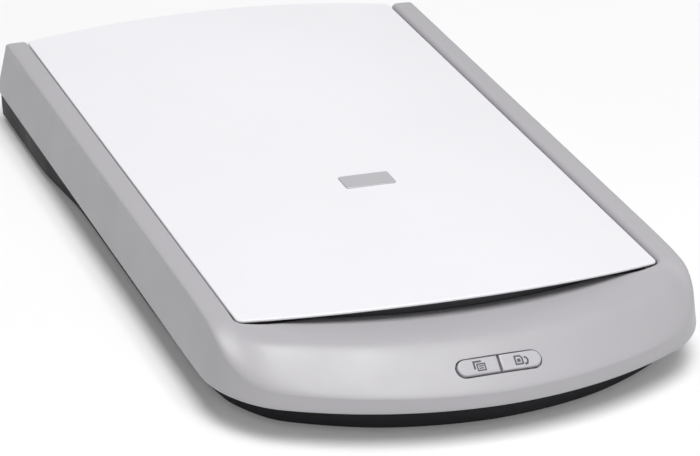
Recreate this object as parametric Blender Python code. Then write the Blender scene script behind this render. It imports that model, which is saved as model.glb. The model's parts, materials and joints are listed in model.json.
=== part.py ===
"""A4 flatbed document scanner: crowned lid on lifting hinges, grey upper housing,
dark base tub, and the optical carriage with its belt drive inside.

Units are metres. The origin is on the table under the middle of the object,
+X to the right, +Y to the rear, +Z up. Dimensions below are in millimetres.
"""
import bpy
import bmesh
from math import sin, cos, tan, pi, radians, sqrt, asin, acos, atan2, hypot
from mathutils import Vector, Matrix

MM = 0.001
GAP = 0.3                      # clearance kept between neighbouring pieces

# ---------------------------------------------------------------- overall
HALF_W = 140.0                 # upper housing, at its lower edge
FRONT_Y = -226.5               # apex of the rounded front
REAR_Y = 222.0                 # flat rear face of the housing
FRONT_R = 245.0                # plan radius of the front
CORNER_R = 52.0                # plan radius of the front corners
LIP_Z = 19.2                   # lower edge of the upper housing
BASE_Z = 3.5                   # underside of the base tub
TUB_TOP = LIP_Z - GAP
WALL = 2.5
SIDE_DRAFT = 5.5               # how far a side wall leans in from lip to rail

# ---------------------------------------------------------------- lid
LID_HALF_W = 120.0
LID_REAR = 226.5
LID_APEX = -176.2
LID_FRONT_R = 320.7
LID_CORNER_R = 5.0
LID_EDGE_Z = 48.0
LID_CROWN = 8.4
LID_SKIN = 2.2
LID_LIP = 1.6                  # thickness of the front lip
LID_OVERHANG = 10.0            # the front lip reaches this far past its skirt
LID_SKIRT_Z = 39.0
LID_REAR_SKIRT_Z = 42.5
LID_GAP = 0.8                  # gap between lid and rails

# ---------------------------------------------------------------- deck and glass
DECK_Z = 38.0
DECK_UNDER = 33.4
RAIL_Z = 49.7
PANEL_Z = 47.0                 # front panel where it meets the lid recess
SHELF = 8.6                    # the front panel runs this far in under the lid's lip
BEND_AT, BEND_SOFT = 0.47, 0.22    # where the front panel bends down, and how softly
EDGE_SHARE = 0.07              # rounding of the front panel's lower edge
GLASS = (114.0, -136.7, 176.7, 35.1, 37.9)      # half width, y0, y1, z0, z1
WINDOW = (108.5, -130.0, 170.0)

# ---------------------------------------------------------------- hinges
HINGE_X = 85.0
HINGE_Y = 221.5
HINGE_Z = 44.0
PIN_R = 1.2
BORE_R = 1.5
LEG = (7.0, 211.3, 217.7, 8.5)                  # half width, y0, y1, bottom z

# ---------------------------------------------------------------- carriage
CAR_Y = -137.0                 # middle of the carriage when parked
CAR_HALF = 26.0
CAR_X = 112.0
CAR_Z0, CAR_Z1 = 9.5, 30.6
TUNNEL_X, TUNNEL_Z = -74.0, 16.0
ROD_X, ROD_Z, ROD_R = -104.0, 12.0, 3.0
BUSH_R0, BUSH_R1 = 3.3, 4.5

# ---------------------------------------------------------------- drive
MODULE = 0.8
WHEEL_T, PINION_T = 30, 10
CENTRES = MODULE * (WHEEL_T + PINION_T) / 2 + 0.12
BELT_R = 5.8                   # middle of the belt on its pulleys
BELT_T = 1.2
BELT_Z0, BELT_Z1 = 8.2, 13.8
PULLEY = Vector((-86.0, -177.0))
IDLER = Vector((-86.0, 197.0))
REDUCTION = PULLEY + CENTRES * Vector((cos(radians(-20)), sin(radians(-20))))
MOTOR = REDUCTION + CENTRES * Vector((cos(radians(-13)), sin(radians(-13))))
MOTOR_R = 12.5

# ---------------------------------------------------------------- buttons
BUTTON_W, BUTTON_H = 47.0, 9.6
BUTTON_SPLIT = 0.8
BUTTON_RISE = 0.8
BUTTON_Y = -213.6


# ================================================================ helpers
for old in list(bpy.data.objects):
    bpy.data.objects.remove(old, do_unlink=True)

scene_collection = bpy.context.scene.collection


def material(name, rgb, roughness, metallic=0.0):
    mat = bpy.data.materials.new(name)
    mat.use_nodes = True
    shader = mat.node_tree.nodes["Principled BSDF"]
    shader.inputs["Base Color"].default_value = (*rgb, 1.0)
    shader.inputs["Roughness"].default_value = roughness
    shader.inputs["Metallic"].default_value = metallic
    mat.diffuse_color = (*rgb, 1.0)
    return mat


def finish(name, bm, mat, smooth=False):
    """Turn a form in millimetres into a named object in metres."""
    bmesh.ops.recalc_face_normals(bm, faces=bm.faces)
    bmesh.ops.scale(bm, vec=(MM, MM, MM), verts=bm.verts)
    mesh = bpy.data.meshes.new(name)
    bm.to_mesh(mesh)
    bm.free()
    if smooth:
        mesh.shade_smooth()
        mesh.set_sharp_from_angle(angle=radians(32))
    if mat:
        mesh.materials.append(mat)
    obj = bpy.data.objects.new(name, mesh)
    scene_collection.objects.link(obj)
    return obj


def skin(name, loops, mat, smooth=False, facet=False):
    """A closed solid through loops of equal length, capped at both ends.

    Facet splits the faces of a doubly curved form into triangles.
    """
    bm = bmesh.new()
    rings = [[bm.verts.new(p) for p in loop] for loop in loops]
    n = len(rings[0])
    for a, b in zip(rings, rings[1:]):
        for i in range(n):
            j = (i + 1) % n
            bm.faces.new((a[i], a[j], b[j], b[i]))
    bm.faces.new(list(reversed(rings[0])))
    bm.faces.new(rings[-1])
    if facet:
        bmesh.ops.triangulate(bm, faces=bm.faces)
    return finish(name, bm, mat, smooth)


def prism(name, outline, z0, z1, mat, smooth=False):
    return skin(name, [[(x, y, z) for x, y in outline] for z in (z0, z1)], mat, smooth)


def prism_x(name, outline, x0, x1, mat, smooth=False):
    return skin(name, [[(x, y, z) for y, z in outline] for x in (x0, x1)], mat, smooth)


def prism_y(name, outline, y0, y1, mat, smooth=False):
    return skin(name, [[(x, y, z) for x, z in outline] for y in (y0, y1)], mat, smooth)


def box(name, lo, hi, mat, bevel=0.0):
    obj = prism(name, [(lo[0], lo[1]), (hi[0], lo[1]), (hi[0], hi[1]), (lo[0], hi[1])],
                lo[2], hi[2], mat)
    if bevel:
        mod = obj.modifiers.new("edges", "BEVEL")
        mod.width = bevel * MM
        mod.segments = 1
        mod.limit_method = "ANGLE"
    return obj


def circle(cx, cy, r, n=24, start=0.0):
    return [(cx + r * cos(start + 2 * pi * i / n), cy + r * sin(start + 2 * pi * i / n))
            for i in range(n)]


def disc(name, axis, centre, r, a, b, mat, n=24):
    outline = circle(centre[0], centre[1], r, n)
    make = {"x": prism_x, "y": prism_y, "z": prism}[axis]
    return make(name, outline, a, b, mat, smooth=True)


def ring_prism(name, outer, inner, z0, z1, mat, smooth=False):
    """A closed band between two outlines of equal length."""
    bm = bmesh.new()
    rows = [[bm.verts.new((x, y, z)) for x, y in line]
            for line, z in ((outer, z0), (outer, z1), (inner, z1), (inner, z0))]
    n = len(outer)
    for k in range(4):
        a, b = rows[k], rows[(k + 1) % 4]
        for i in range(n):
            j = (i + 1) % n
            bm.faces.new((a[i], a[j], b[j], b[i]))
    return finish(name, bm, mat, smooth)


def tool(obj):
    obj.hide_render = True
    obj.display_type = "WIRE"
    return obj


def boolean(obj, other, operation):
    mod = obj.modifiers.new(operation.lower(), "BOOLEAN")
    mod.operation = operation
    mod.solver = "EXACT"
    mod.object = tool(other)
    return obj


def cut(obj, *others):
    for other in others:
        boolean(obj, other, "DIFFERENCE")
    return obj


def add(obj, *others):
    for other in others:
        boolean(obj, other, "UNION")
    return obj


def anchor(name, point):
    """An empty on a joint's axis, for the pieces that move about it."""
    empty = bpy.data.objects.new(name, None)
    empty.location = Vector(point) * MM
    empty.empty_display_size = 0.01
    scene_collection.objects.link(empty)
    return empty


def carry(empty, *objs):
    for obj in objs:
        obj.data.transform(Matrix.Translation(-empty.location))
        obj.parent = empty


def smoothstep(t):
    t = max(0.0, min(1.0, t))
    return t * t * (3 - 2 * t)


def ramp(x, knots):
    """Straight runs through a few (x, value) design points."""
    if x <= knots[0][0]:
        return knots[0][1]
    for (xa, va), (xb, vb) in zip(knots, knots[1:]):
        if x <= xb:
            return va + (vb - va) * (x - xa) / (xb - xa)
    return knots[-1][1]


# ================================================================ materials
WHITE = material("lid_white", (0.86, 0.86, 0.88), 0.42)
LINER = material("liner_white", (0.80, 0.80, 0.80), 0.5)
FOAM = material("foam_grey", (0.62, 0.62, 0.62), 0.95)
SHEET = material("backing_white", (0.92, 0.92, 0.92), 0.6)
GREY = material("housing_grey", (0.50, 0.50, 0.53), 0.45)
BADGE = material("badge_grey", (0.45, 0.45, 0.48), 0.35)
DARK = material("tub_charcoal", (0.035, 0.035, 0.04), 0.5)
BLACK = material("carriage_black", (0.02, 0.02, 0.022), 0.55)
BUTTON = material("button_grey", (0.62, 0.62, 0.65), 0.4)
RUBBER = material("rubber_dark", (0.03, 0.03, 0.03), 0.85)
STEEL = material("bright_steel", (0.62, 0.62, 0.64), 0.28, 1.0)
ZINC = material("zinc_plate", (0.55, 0.55, 0.56), 0.4, 1.0)
GLASS_MAT = material("clear_glass", (0.78, 0.84, 0.82), 0.05)
LAMP = material("lamp_white", (0.93, 0.94, 0.95), 0.25)
MIRROR = material("mirror_silver", (0.85, 0.86, 0.87), 0.04, 1.0)
BOARD = material("board_green", (0.03, 0.17, 0.08), 0.5)
ACETAL = material("acetal_white", (0.78, 0.78, 0.74), 0.45)
BRONZE = material("bush_bronze", (0.50, 0.34, 0.16), 0.4, 1.0)
BELT = material("belt_black", (0.02, 0.02, 0.02), 0.8)
CABLE = material("cable_white", (0.80, 0.80, 0.78), 0.5)
LENS = material("lens_black", (0.015, 0.015, 0.018), 0.3)


# ================================================================ plan outlines
FILLET_X = -(HALF_W - CORNER_R)
FRONT_CY = FRONT_Y + FRONT_R
FILLET_Y = FRONT_CY - sqrt((FRONT_R - CORNER_R) ** 2 - FILLET_X ** 2)
FRONT_HALF = asin(-FILLET_X / (FRONT_R - CORNER_R))

N_CORNER, N_FRONT = 8, 14
SIDE_YS = (REAR_Y, 60.0, -90.0, -118.0, -134.0, -146.0)


def mirror_right(left):
    """Complete a left half, given rear to front, with its mirror image."""
    return left + [(-x, y) for x, y in reversed(left) if abs(x) > 1e-6]


def outer_stations():
    """Left half of the housing outline: point, outward direction, distance along the edge."""
    out = [((-HALF_W, y), (-1.0, 0.0), -140.0 - y) for y in SIDE_YS]
    start = -140.0 - FILLET_Y
    sweep = pi / 2 - FRONT_HALF
    for k in range(N_CORNER + 1):
        a = sweep * k / N_CORNER
        d = (-cos(a), -sin(a))
        out.append(((FILLET_X + CORNER_R * d[0], FILLET_Y + CORNER_R * d[1]), d,
                    start + CORNER_R * a))
    start += CORNER_R * sweep
    half = N_FRONT // 2
    for k in range(1, half + 1):
        a = FRONT_HALF * (1 - k / half)
        d = (-sin(a), -cos(a))
        out.append(((FRONT_R * d[0], FRONT_CY + FRONT_R * d[1]), d,
                    start + FRONT_R * (FRONT_HALF - a)))
    return out


STATIONS = outer_stations()


def outer_point(k, inset):
    (x, y), (dx, dy), _ = STATIONS[k]
    return (x - dx * inset, y - dy * inset)


LID_CY = LID_APEX + LID_FRONT_R
LID_FX = -(LID_HALF_W - LID_CORNER_R)
LID_FY = LID_CY - sqrt((LID_FRONT_R - LID_CORNER_R) ** 2 - LID_FX ** 2)
LID_HALF = asin(-LID_FX / (LID_FRONT_R - LID_CORNER_R))


def lid_front(x):
    """Plan line of the lid's front edge."""
    ax = abs(x)
    if ax <= LID_FRONT_R * sin(LID_HALF):
        return LID_CY - sqrt(LID_FRONT_R ** 2 - ax * ax)
    d = min(ax + LID_FX, LID_CORNER_R)
    return LID_FY - sqrt(max(0.0, LID_CORNER_R ** 2 - d * d))


def lid_stations(grow):
    """Left half of the lid outline grown sideways, matched to the housing stations."""
    out = []
    for y in SIDE_YS:
        out.append((-LID_HALF_W - grow, y if y > -120 else -120 + (y + 120) * 0.75))
    sweep = pi / 2 - LID_HALF
    for k in range(N_CORNER + 1):
        a = sweep * k / N_CORNER
        r = LID_CORNER_R + grow
        out.append((LID_FX - r * cos(a), LID_FY - r * sin(a)))
    half = N_FRONT // 2
    for k in range(1, half + 1):
        a = LID_HALF * (1 - k / half)
        r = LID_FRONT_R + grow
        out.append((-r * sin(a), LID_CY - r * cos(a)))
    return out


def shelf(x):
    """How far the front panel runs in under the lip, none of it at the corners where the lip lies low."""
    return ramp(abs(x), ((84.0, SHELF), (106.0, 0.0)))


def recess_outline(grow, rear, corner=6, front=13):
    """Outline of the lid recess, running out past the rear."""
    left = [(-LID_HALF_W - grow, rear), (-LID_HALF_W - grow, LID_FY + 0.4)]
    sweep = pi / 2 - LID_HALF
    for k in range(corner):
        a = sweep * (k + 0.63) / corner
        r = LID_CORNER_R + grow
        left.append((LID_FX - r * cos(a), LID_FY - r * sin(a)))
    for k in range(front):
        a = LID_HALF * (1 - (k + 0.41) / front)
        r = LID_FRONT_R + grow
        left.append((-r * sin(a), LID_CY - r * cos(a) + shelf(r * sin(a))))
    return mirror_right(left)


# ================================================================ upper housing
def crease_z(s):
    """Height of the housing's upper outer edge along the side, corner and front."""
    return ramp(s, ((-20, 47.4), (0, 47.2), (10, 46.6), (18, 45.0), (26, 42.4), (34, 37.8), (42, 33.4),
                    (52, 29.8), (64, 28.0), (80, 27.6), (109, 27.2), (133, 26.9), (190, 26.3)))


def inner_z(s):
    return ramp(s, ((-20, RAIL_Z), (20, RAIL_Z - 0.6), (45, RAIL_Z - 1.6), (64, PANEL_Z + 0.6),
                    (100, PANEL_Z)))


def roundness(s):
    return ramp(s, ((-20, 4.0), (0, 3.4), (12, 2.5), (24, 1.8), (34, 1.56), (50, 1.48), (80, 1.5), (190, 1.5)))


def panel_rise(s, n, along):
    """Share of the panel's height left at s, from the lid (0) to the outer edge (1): rounded over on the
    rails and corners, and on the front a gentle run that bends into a straight slope with a rounded edge."""
    over = max(0.0, 1 - s ** n) ** (1 / n)

    def bent(q):
        b = (1 - q) / (1 - BEND_AT)
        return (1 + b - sqrt((1 - b) ** 2 + BEND_SOFT ** 2)) / 2

    slope = (bent(s) - bent(1.0)) / (bent(0.0) - bent(1.0))
    slope = (1 - EDGE_SHARE) * slope + EDGE_SHARE * max(0.0, 1 - s ** 14) ** (1 / 3)
    return over + (slope - over) * ramp(along, ((50, 0.0), (95, 1.0)))


def roll_run(s):
    """How far the rolled edge over the lid recess reaches sideways; roll_fall is how deep it goes."""
    return ramp(s, ((-10, 1.2), (30, 1.2), (60, 1.4), (190, 1.4)))


def roll_fall(s):
    return ramp(s, ((-60, -0.12), (0, 0.8), (30, 1.3), (55, 1.2), (80, 0.6), (190, 0.6)))


def draft(z):
    return SIDE_DRAFT * (z - LIP_Z) / (RAIL_Z - LIP_Z)


PANEL_STEPS = (1.0, 0.985, 0.94, 0.86, 0.74, 0.58, 0.4, 0.2, 0.0)


def housing_loops(inset, drop, lowest):
    """Loops of the housing's outer form, or of the hollow inside it."""
    near, far = lid_stations(0.0), lid_stations(1.0)
    count = len(STATIONS)
    loops = []

    def loop(fn):
        left = [fn(k) for k in range(count)]
        right = [(-p[0], p[1], p[2]) for p in reversed(left) if abs(p[0]) > 1e-6]
        loops.append(left + right)

    def lid_at(k, grow):
        (xa, ya), (xb, yb) = near[k], far[k]
        return (xa + (xb - xa) * grow, ya + (yb - ya) * grow)

    def flat(k, z, extra=0.0):
        x, y = outer_point(k, inset + draft(z) + extra)
        if k == 0:
            y = REAR_Y - inset
        return (x, y, z)

    loop(lambda k: flat(k, lowest))

    def panel(k, s):
        along = STATIONS[k][2]
        zc, zi, n = crease_z(along), inner_z(along), roundness(along)
        ox, oy = outer_point(k, inset + draft(zc))
        ix, iy = lid_at(k, LID_GAP + inset + roll_run(along))
        z = zc + (zi - zc) * panel_rise(s, n, along) - drop
        x, y = ix + (ox - ix) * s, iy + (oy - iy) * s
        if k == 0:
            y = REAR_Y - inset
        return (x, y, z)

    for s in PANEL_STEPS:
        loop(lambda k: panel(k, s))

    def roll(k, t):
        along = STATIONS[k][2]
        x, y = lid_at(k, LID_GAP + inset - 1.0 + (roll_run(along) + 1.0) * (1 - sin(t)))
        if k == 0:
            y = REAR_Y - inset
        return (x, y, inner_z(along) - roll_fall(along) * (1 - cos(t)) - drop)

    for t in (25, 50, 75):
        loop(lambda k: roll(k, radians(t)))

    def middle(k):
        along = STATIONS[k][2]
        x, y = lid_at(k, -4.0 - 0.9 * shelf(near[k][0]))
        if k == 0:
            y = REAR_Y - inset
        return (x, y, inner_z(along) - roll_fall(along) - drop)

    loop(middle)
    return loops


def panel_point(y):
    """Height and slope angle of the front panel on the centre line."""
    k = len(STATIONS) - 1
    along = STATIONS[k][2]
    zc, zi, n = crease_z(along), inner_z(along), roundness(along)
    y0 = lid_stations(LID_GAP + roll_run(along))[k][1]
    y1 = outer_point(k, draft(zc))[1]
    s = (y - y0) / (y1 - y0)
    h = panel_rise(s, n, along)
    fall = panel_rise(s - 0.01, n, along) - panel_rise(s + 0.01, n, along)
    return zc + (zi - zc) * h, atan2(fall / 0.02 * (zi - zc), abs(y1 - y0))


# ================================================================ base tub outline
def tub_inset(s):
    """How far the tub stands in from the housing's lower edge, along the side and front."""
    return ramp(s, ((-286, 1.7), (-270, 2.0), (-249, 4.3), (-232, 6.3), (-222, 7.3), (-200, 7.7), (-90, 8.0),
                    (-46, 8.6), (-6, 9.4), (15, 13.6), (32, 16.4), (44, 17.0), (60, 16.4), (81, 15.1),
                    (120, 13.0), (190, 12.2)))


def tub_outline(extra):
    """The tub is set in under the front and sides, and widens towards the rear."""
    left = []
    ys = (REAR_Y - 1.5, 146.0, 134.0, 124.0, 114.0, 104.0, 94.0, 86.0, 76.0, 56.0, -40.0, -94.0, -126.0, -142.0)
    for i, y in enumerate(ys):
        left.append((-HALF_W + tub_inset(-140.0 - y) + extra, y - (extra if i == 0 else 0.0)))
    for k in range(len(SIDE_YS), len(STATIONS)):
        left.append(outer_point(k, tub_inset(STATIONS[k][2]) + extra))
    return mirror_right(left)


# ---------------------------------------------------------------- build: base tub
base_tub = skin("base_tub", [[(x, y, BASE_Z) for x, y in tub_outline(0.9)],
                             [(x, y, TUB_TOP) for x, y in tub_outline(0.0)]], DARK)
cut(base_tub, skin("tub_hollow", [[(x, y, BASE_Z + 2.0) for x, y in tub_outline(3.4)],
                                  [(x, y, TUB_TOP + 4) for x, y in tub_outline(2.4)]], None))

for side, sx in (("left", -1), ("right", 1)):
    cx = sx * HINGE_X
    sleeve = box("sleeve_" + side, (cx - 9.6, LEG[1] - 2.6, 4.5), (cx + 9.6, 219.0, 18.6), None)
    slot = box("sleeve_slot_" + side, (cx - LEG[0] - 0.4, LEG[1] - 0.35, 6.1),
               (cx + LEG[0] + 0.4, LEG[2] + 0.35, 24.0), None)
    cut(add(base_tub, sleeve), slot)

for name, point, boss_r, boss_top, post_top in (
        ("drive", PULLEY, 3.2, 6.9, 29.6),
        ("reduction", REDUCTION, 3.2, 15.6, 29.6)):
    add(base_tub, skin(name + "_post", [[(x, y, z) for x, y in circle(*point, r, 16, 0.1)] for r, z in
                                        ((boss_r, 4.5), (boss_r, boss_top), (PIN_R, boss_top), (PIN_R, post_top))], None))

for name, x, y in (("a", -50.0, 203.0), ("b", 50.0, 203.0)):
    add(base_tub, disc("board_boss_" + name, "z", (x, y), 3.0, 4.5, 19.6, None, 16))

SCREWS = (("rear_left", -118.0, 204.0), ("rear_right", 118.0, 204.0),
          ("front_left", -26.0, -182.0), ("front_right", 75.0, -182.0))
for name, x, y in SCREWS:
    cut(base_tub, disc("tub_hole_" + name, "z", (x, y), 2.0, 0.0, 8.0, None, 16))

# ---------------------------------------------------------------- build: upper housing
upper_housing = skin("upper_housing", housing_loops(0.0, 0.0, LIP_Z), GREY, facet=True)

hollow = skin("housing_hollow", housing_loops(WALL, WALL, LIP_Z + WALL), None, facet=True)
cut(hollow, prism("deck_block", recess_outline(LID_GAP + WALL, 260.0), DECK_UNDER, 90.0, None))
cut(upper_housing, hollow)
cut(upper_housing, prism("lid_recess", recess_outline(LID_GAP, 260.0), DECK_Z, 90.0, None))
cut(upper_housing, prism("tub_mouth", tub_outline(2.4), 10.0, LIP_Z + WALL + 0.6, None))
cut(upper_housing, box("glass_rebate", (-GLASS[0] - 0.4, GLASS[1] - 0.4, GLASS[3] - 0.3),
                       (GLASS[0] + 0.4, GLASS[2] + 0.4, 60.0), None))
cut(upper_housing, box("scan_window", (-WINDOW[0], WINDOW[1], 25.0),
                       (WINDOW[0], WINDOW[2], 60.0), None))
for side, sx in (("left", -1), ("right", 1)):
    cx = sx * HINGE_X
    cut(upper_housing, box("hinge_slot_" + side, (cx - LEG[0] - 0.4, LEG[1] - 0.4, 25.0),
                           (cx + LEG[0] + 0.4, LEG[2] + 0.4, 60.0), None))

USB_X, JACK_X = -30.0, 19.0
PORT_Z0, PORT_Z1 = 22.0, 32.5
cut(upper_housing, box("usb_window", (USB_X - 6.4, 216.0, PORT_Z0 - 0.35),
                       (USB_X + 6.4, 230.0, PORT_Z1 + 0.35), None))
cut(upper_housing, box("jack_window", (JACK_X - 5.0, 216.0, PORT_Z0 - 0.35),
                       (JACK_X + 5.0, 230.0, PORT_Z1 + 0.35), None))

for name, x, y in SCREWS:
    top = 35.5 if y > 0 else 45.2 if x < 0 else 45.0
    add(upper_housing, disc("boss_" + name, "z", (x, y), 4.2, 6.0, top, None, 20))
    cut(upper_housing, disc("boss_hole_" + name, "z", (x, y), 1.9, 0.0, 18.0, None, 16))

# ---------------------------------------------------------------- buttons
BUTTON_Z, BUTTON_TILT = panel_point(BUTTON_Y)
BUTTON_FRAME = (Matrix.Translation(Vector((0, BUTTON_Y, BUTTON_Z)))
                @ Matrix.Rotation(BUTTON_TILT, 4, "X"))


def tilted(name, outline, w0, w1, mat, smooth=False):
    """A prism that stands on the front panel, along the panel's normal."""
    loops = [[tuple(BUTTON_FRAME @ Vector((u, v, w))) for u, v in outline] for w in (w0, w1)]
    return skin(name, loops, mat, smooth)


def half_pill(sx, grow, split):
    r = BUTTON_H / 2 + grow
    c = BUTTON_W / 2 - BUTTON_H / 2
    pts = [(split, -r)]
    for k in range(13):
        a = -pi / 2 + pi * k / 12
        pts.append((c + r * cos(a), r * sin(a)))
    pts.append((split, r))
    return [(sx * u, v) for u, v in pts]


def full_pill(grow):
    right = half_pill(1, grow, 0.0)[1:-1]
    return right + [(-u, -v) for u, v in right]


cut(upper_housing, tilted("button_opening", full_pill(0.4), -12.0, 12.0, None))

buttons = {}
for side, sx in (("left", -1), ("right", 1)):
    cap = tilted(side + "_button", half_pill(sx, 0.0, BUTTON_SPLIT / 2), -5.6, BUTTON_RISE, BUTTON, True)
    flange = tilted(side + "_flange", half_pill(sx, 1.3, BUTTON_SPLIT / 2), -5.8, -4.6, None)
    stem = tilted(side + "_stem", circle(sx * 11.5, 0, 1.8, 16), -7.4, -5.0, None)
    add(cap, flange, stem)
    buttons[side] = cap
    base = tilted(side + "_switch", [(sx * 11.5 + a, b) for a, b in
                                     ((-3, -3), (3, -3), (3, 3), (-3, 3))], -12.0, -9.2, BLACK)
    add(base, tilted(side + "_plunger", circle(sx * 11.5, 0, 1.6, 16), -9.6, -8.7, None))

button_board = tilted("button_board", [(-30, -4.2), (30, -4.2), (30, 12), (-30, 12)],
                      -13.8, -12.3, BOARD)

# ---------------------------------------------------------------- platen
platen_glass = box("platen_glass", (-GLASS[0], GLASS[1], GLASS[3]),
                   (GLASS[0], GLASS[2], GLASS[4]), GLASS_MAT)
size_guide_strip = box("size_guide_strip", (-106, -150.5, DECK_Z + GAP),
                       (106, -138.5, DECK_Z + GAP + 0.5), SHEET)
calibration_strip = box("calibration_strip", (-107, -152.0, DECK_UNDER - GAP - 0.5),
                        (107, -140.0, DECK_UNDER - GAP), SHEET)


# ---------------------------------------------------------------- lid
def crown(x):
    return LID_EDGE_Z + LID_CROWN * (1 - (x / LID_HALF_W) ** 2)


LID_COLUMNS = [-120, -119.4, -118, -116, -113, -107, -98, -87, -75, -62, -48, -32, -16]
LID_COLUMNS = [float(x) for x in LID_COLUMNS] + [0.0] + [float(-x) for x in reversed(LID_COLUMNS)]


def lid_section(x):
    yf, zt = lid_front(x), crown(x)
    return [(x, yf, zt), (x, LID_REAR, zt), (x, LID_REAR, LID_REAR_SKIRT_Z),
            (x, LID_REAR - 10, LID_REAR_SKIRT_Z), (x, LID_REAR - 10, LID_SKIRT_Z),
            (x, yf + LID_OVERHANG, LID_SKIRT_Z), (x, yf + LID_OVERHANG, zt - LID_LIP),
            (x, yf, zt - LID_LIP)]


lid_shell = skin("lid_shell", [lid_section(x) for x in LID_COLUMNS], WHITE, True, True)


def lid_cavity_section(x):
    yf, zt = lid_front(max(-112.0, min(112.0, x))), crown(x) - LID_SKIN
    front, rear = yf + LID_OVERHANG + LID_SKIN, LID_REAR - 1.8
    return [(x, front, zt), (x, rear, zt), (x, rear, 30.0), (x, front, 30.0)]


edge = LID_HALF_W - LID_SKIN
cavity_columns = [-edge] + [x for x in LID_COLUMNS if abs(x) < edge - 1.5] + [edge]
cut(lid_shell, skin("lid_cavity", [lid_cavity_section(x) for x in cavity_columns], None, facet=True))

liner_xs = [-117.3, -112, -100, -80, -60, -40, -20, 0, 20, 40, 60, 80, 100, 112, 117.3]
liner_line = [(x, lid_front(max(-112.0, min(112.0, x))) + LID_OVERHANG + LID_SKIN + 0.5)
              for x in liner_xs]
lid_liner = prism("lid_liner", liner_line + [(117.3, 206.0), (-117.3, 206.0)], 41.3, 42.8, LINER)
foam_pad = box("foam_pad", (-112, -135.5, 39.0), (112, 185.0, 41.0), FOAM)
backing_sheet = box("backing_sheet", (-112, -135.5, DECK_Z + GAP), (112, 185.0, DECK_Z + 0.7), SHEET)

BADGE_Y = -32.0
badge_plate = skin("badge_plate", [[(x, BADGE_Y + dy, crown(x) + up) for x, dy in
                                    ([(u, -7.5) for u in (-15, -10, -5, 0, 5, 10, 15)]
                                     + [(u, 7.5) for u in (15, 10, 5, 0, -5, -10, -15)])]
                                   for up in (GAP, GAP + 0.5)], BADGE)

# ---------------------------------------------------------------- hinges
hinge_objects = {}
for side, sx in (("left", -1), ("right", 1)):
    cx = sx * HINGE_X
    barrel = [(HINGE_Y + 2.6 * cos(a), HINGE_Z + 2.6 * sin(a))
              for a in [radians(-100 + 220 * k / 14) for k in range(15)]]
    profile = ([(LEG[1], LEG[3]), (LEG[2], LEG[3]), (LEG[2], 39.4)] + barrel
               + [(LEG[1] + 1.2, 42.6), (LEG[1], 40.0)])
    post = prism_x(side + "_hinge_post", profile, cx - LEG[0], cx + LEG[0], ACETAL)
    cut(post, disc(side + "_post_bore", "x", (HINGE_Y, HINGE_Z), BORE_R, cx - 12, cx + 12, None, 20))

    plate = [(206.0, 46.9), (224.0, 46.9), (224.0, 48.5), (206.0, 48.5)]
    bracket = prism_x(side + "_hinge_bracket", plate, cx - 10.4, cx + 10.4, LINER)
    for tag, x0, x1 in (("a", cx - 10.4, cx - 7.3), ("b", cx + 7.3, cx + 10.4)):
        ear = [(HINGE_Y + 2.6 * cos(a), HINGE_Z + 2.6 * sin(a))
               for a in [radians(180 + 180 * k / 12) for k in range(13)]]
        ear += [(HINGE_Y + 2.6, 47.6), (HINGE_Y - 2.6, 47.6)]
        add(bracket, prism_x(side + "_ear_" + tag, ear, x0, x1, None))
    cut(bracket, disc(side + "_ear_bore", "x", (HINGE_Y, HINGE_Z), BORE_R, cx - 12, cx + 12, None, 20))
    pin = disc(side + "_hinge_pin", "x", (HINGE_Y, HINGE_Z), PIN_R, cx - 11.0, cx + 11.0, STEEL, 20)
    hinge_objects[side] = (post, bracket, pin)

# ---------------------------------------------------------------- feet and screws
FEET = (("front_left_foot", -92.0, -168.0), ("front_right_foot", 92.0, -168.0),
        ("rear_left_foot", -118.0, 178.0), ("rear_right_foot", 118.0, 178.0))
for name, x, y in FEET:
    skin(name, [[(px, py, z) for px, py in circle(x, y, r, 28)]
                for r, z in ((6.6, 0.0), (7.2, 0.7), (7.6, BASE_Z - GAP))], RUBBER, True)
for name, x, y in SCREWS:
    screw = skin(name + "_screw", [[(px, py, z) for px, py in circle(x, y, r, 16)]
                                   for r, z in ((2.6, 1.1), (3.3, 1.8), (3.3, BASE_Z - GAP))], STEEL, True)
    add(screw, disc(name + "_shank", "z", (x, y), 1.5, 2.5, 16.0, None, 12))

# ---------------------------------------------------------------- guide rod
guide_rod = disc("guide_rod", "y", (ROD_X, ROD_Z), ROD_R, -172.0, 203.5, STEEL, 24)
for name, y0, y1 in (("front_rod_bracket", -174.0, -166.5), ("rear_rod_bracket", 197.5, 205.0)):
    bracket = box(name, (ROD_X - 6.5, y0, BASE_Z + 2.0 + GAP), (ROD_X + 6.5, y1, 17.5), ZINC)
    cut(bracket, disc(name + "_bore", "y", (ROD_X, ROD_Z), ROD_R + 0.3, -171.9 - 0.5, 203.6 + 0.4, None, 24))

# ---------------------------------------------------------------- carriage
y0, y1 = CAR_Y - CAR_HALF, CAR_Y + CAR_HALF
carriage_frame = box("carriage_frame", (-CAR_X, y0, CAR_Z0), (CAR_X, y1, CAR_Z1), BLACK)
cut(carriage_frame,
    box("carriage_tunnel", (-130, y0 - 5, 0), (TUNNEL_X, y1 + 5, TUNNEL_Z), None),
    box("carriage_room", (TUNNEL_X + 2, y0 + 2, CAR_Z0 + 2), (CAR_X - 2, y1 - 2, 50), None),
    box("carriage_shelf", (-CAR_X + 2, y0 + 2, TUNNEL_Z + 1.6), (TUNNEL_X + 5, y1 - 2, 50), None))
for tag, a, b in (("front", y0, y0 + 11), ("rear", y1 - 11, y1)):
    add(carriage_frame, box("bearing_" + tag, (ROD_X - 6.4, a, 6.0), (ROD_X + 6.4, b, TUNNEL_Z + 0.8), None))
cut(carriage_frame, disc("bearing_bore", "y", (ROD_X, ROD_Z), BUSH_R1 + 0.3, y0 - 4, y1 + 4, None, 24))

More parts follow.
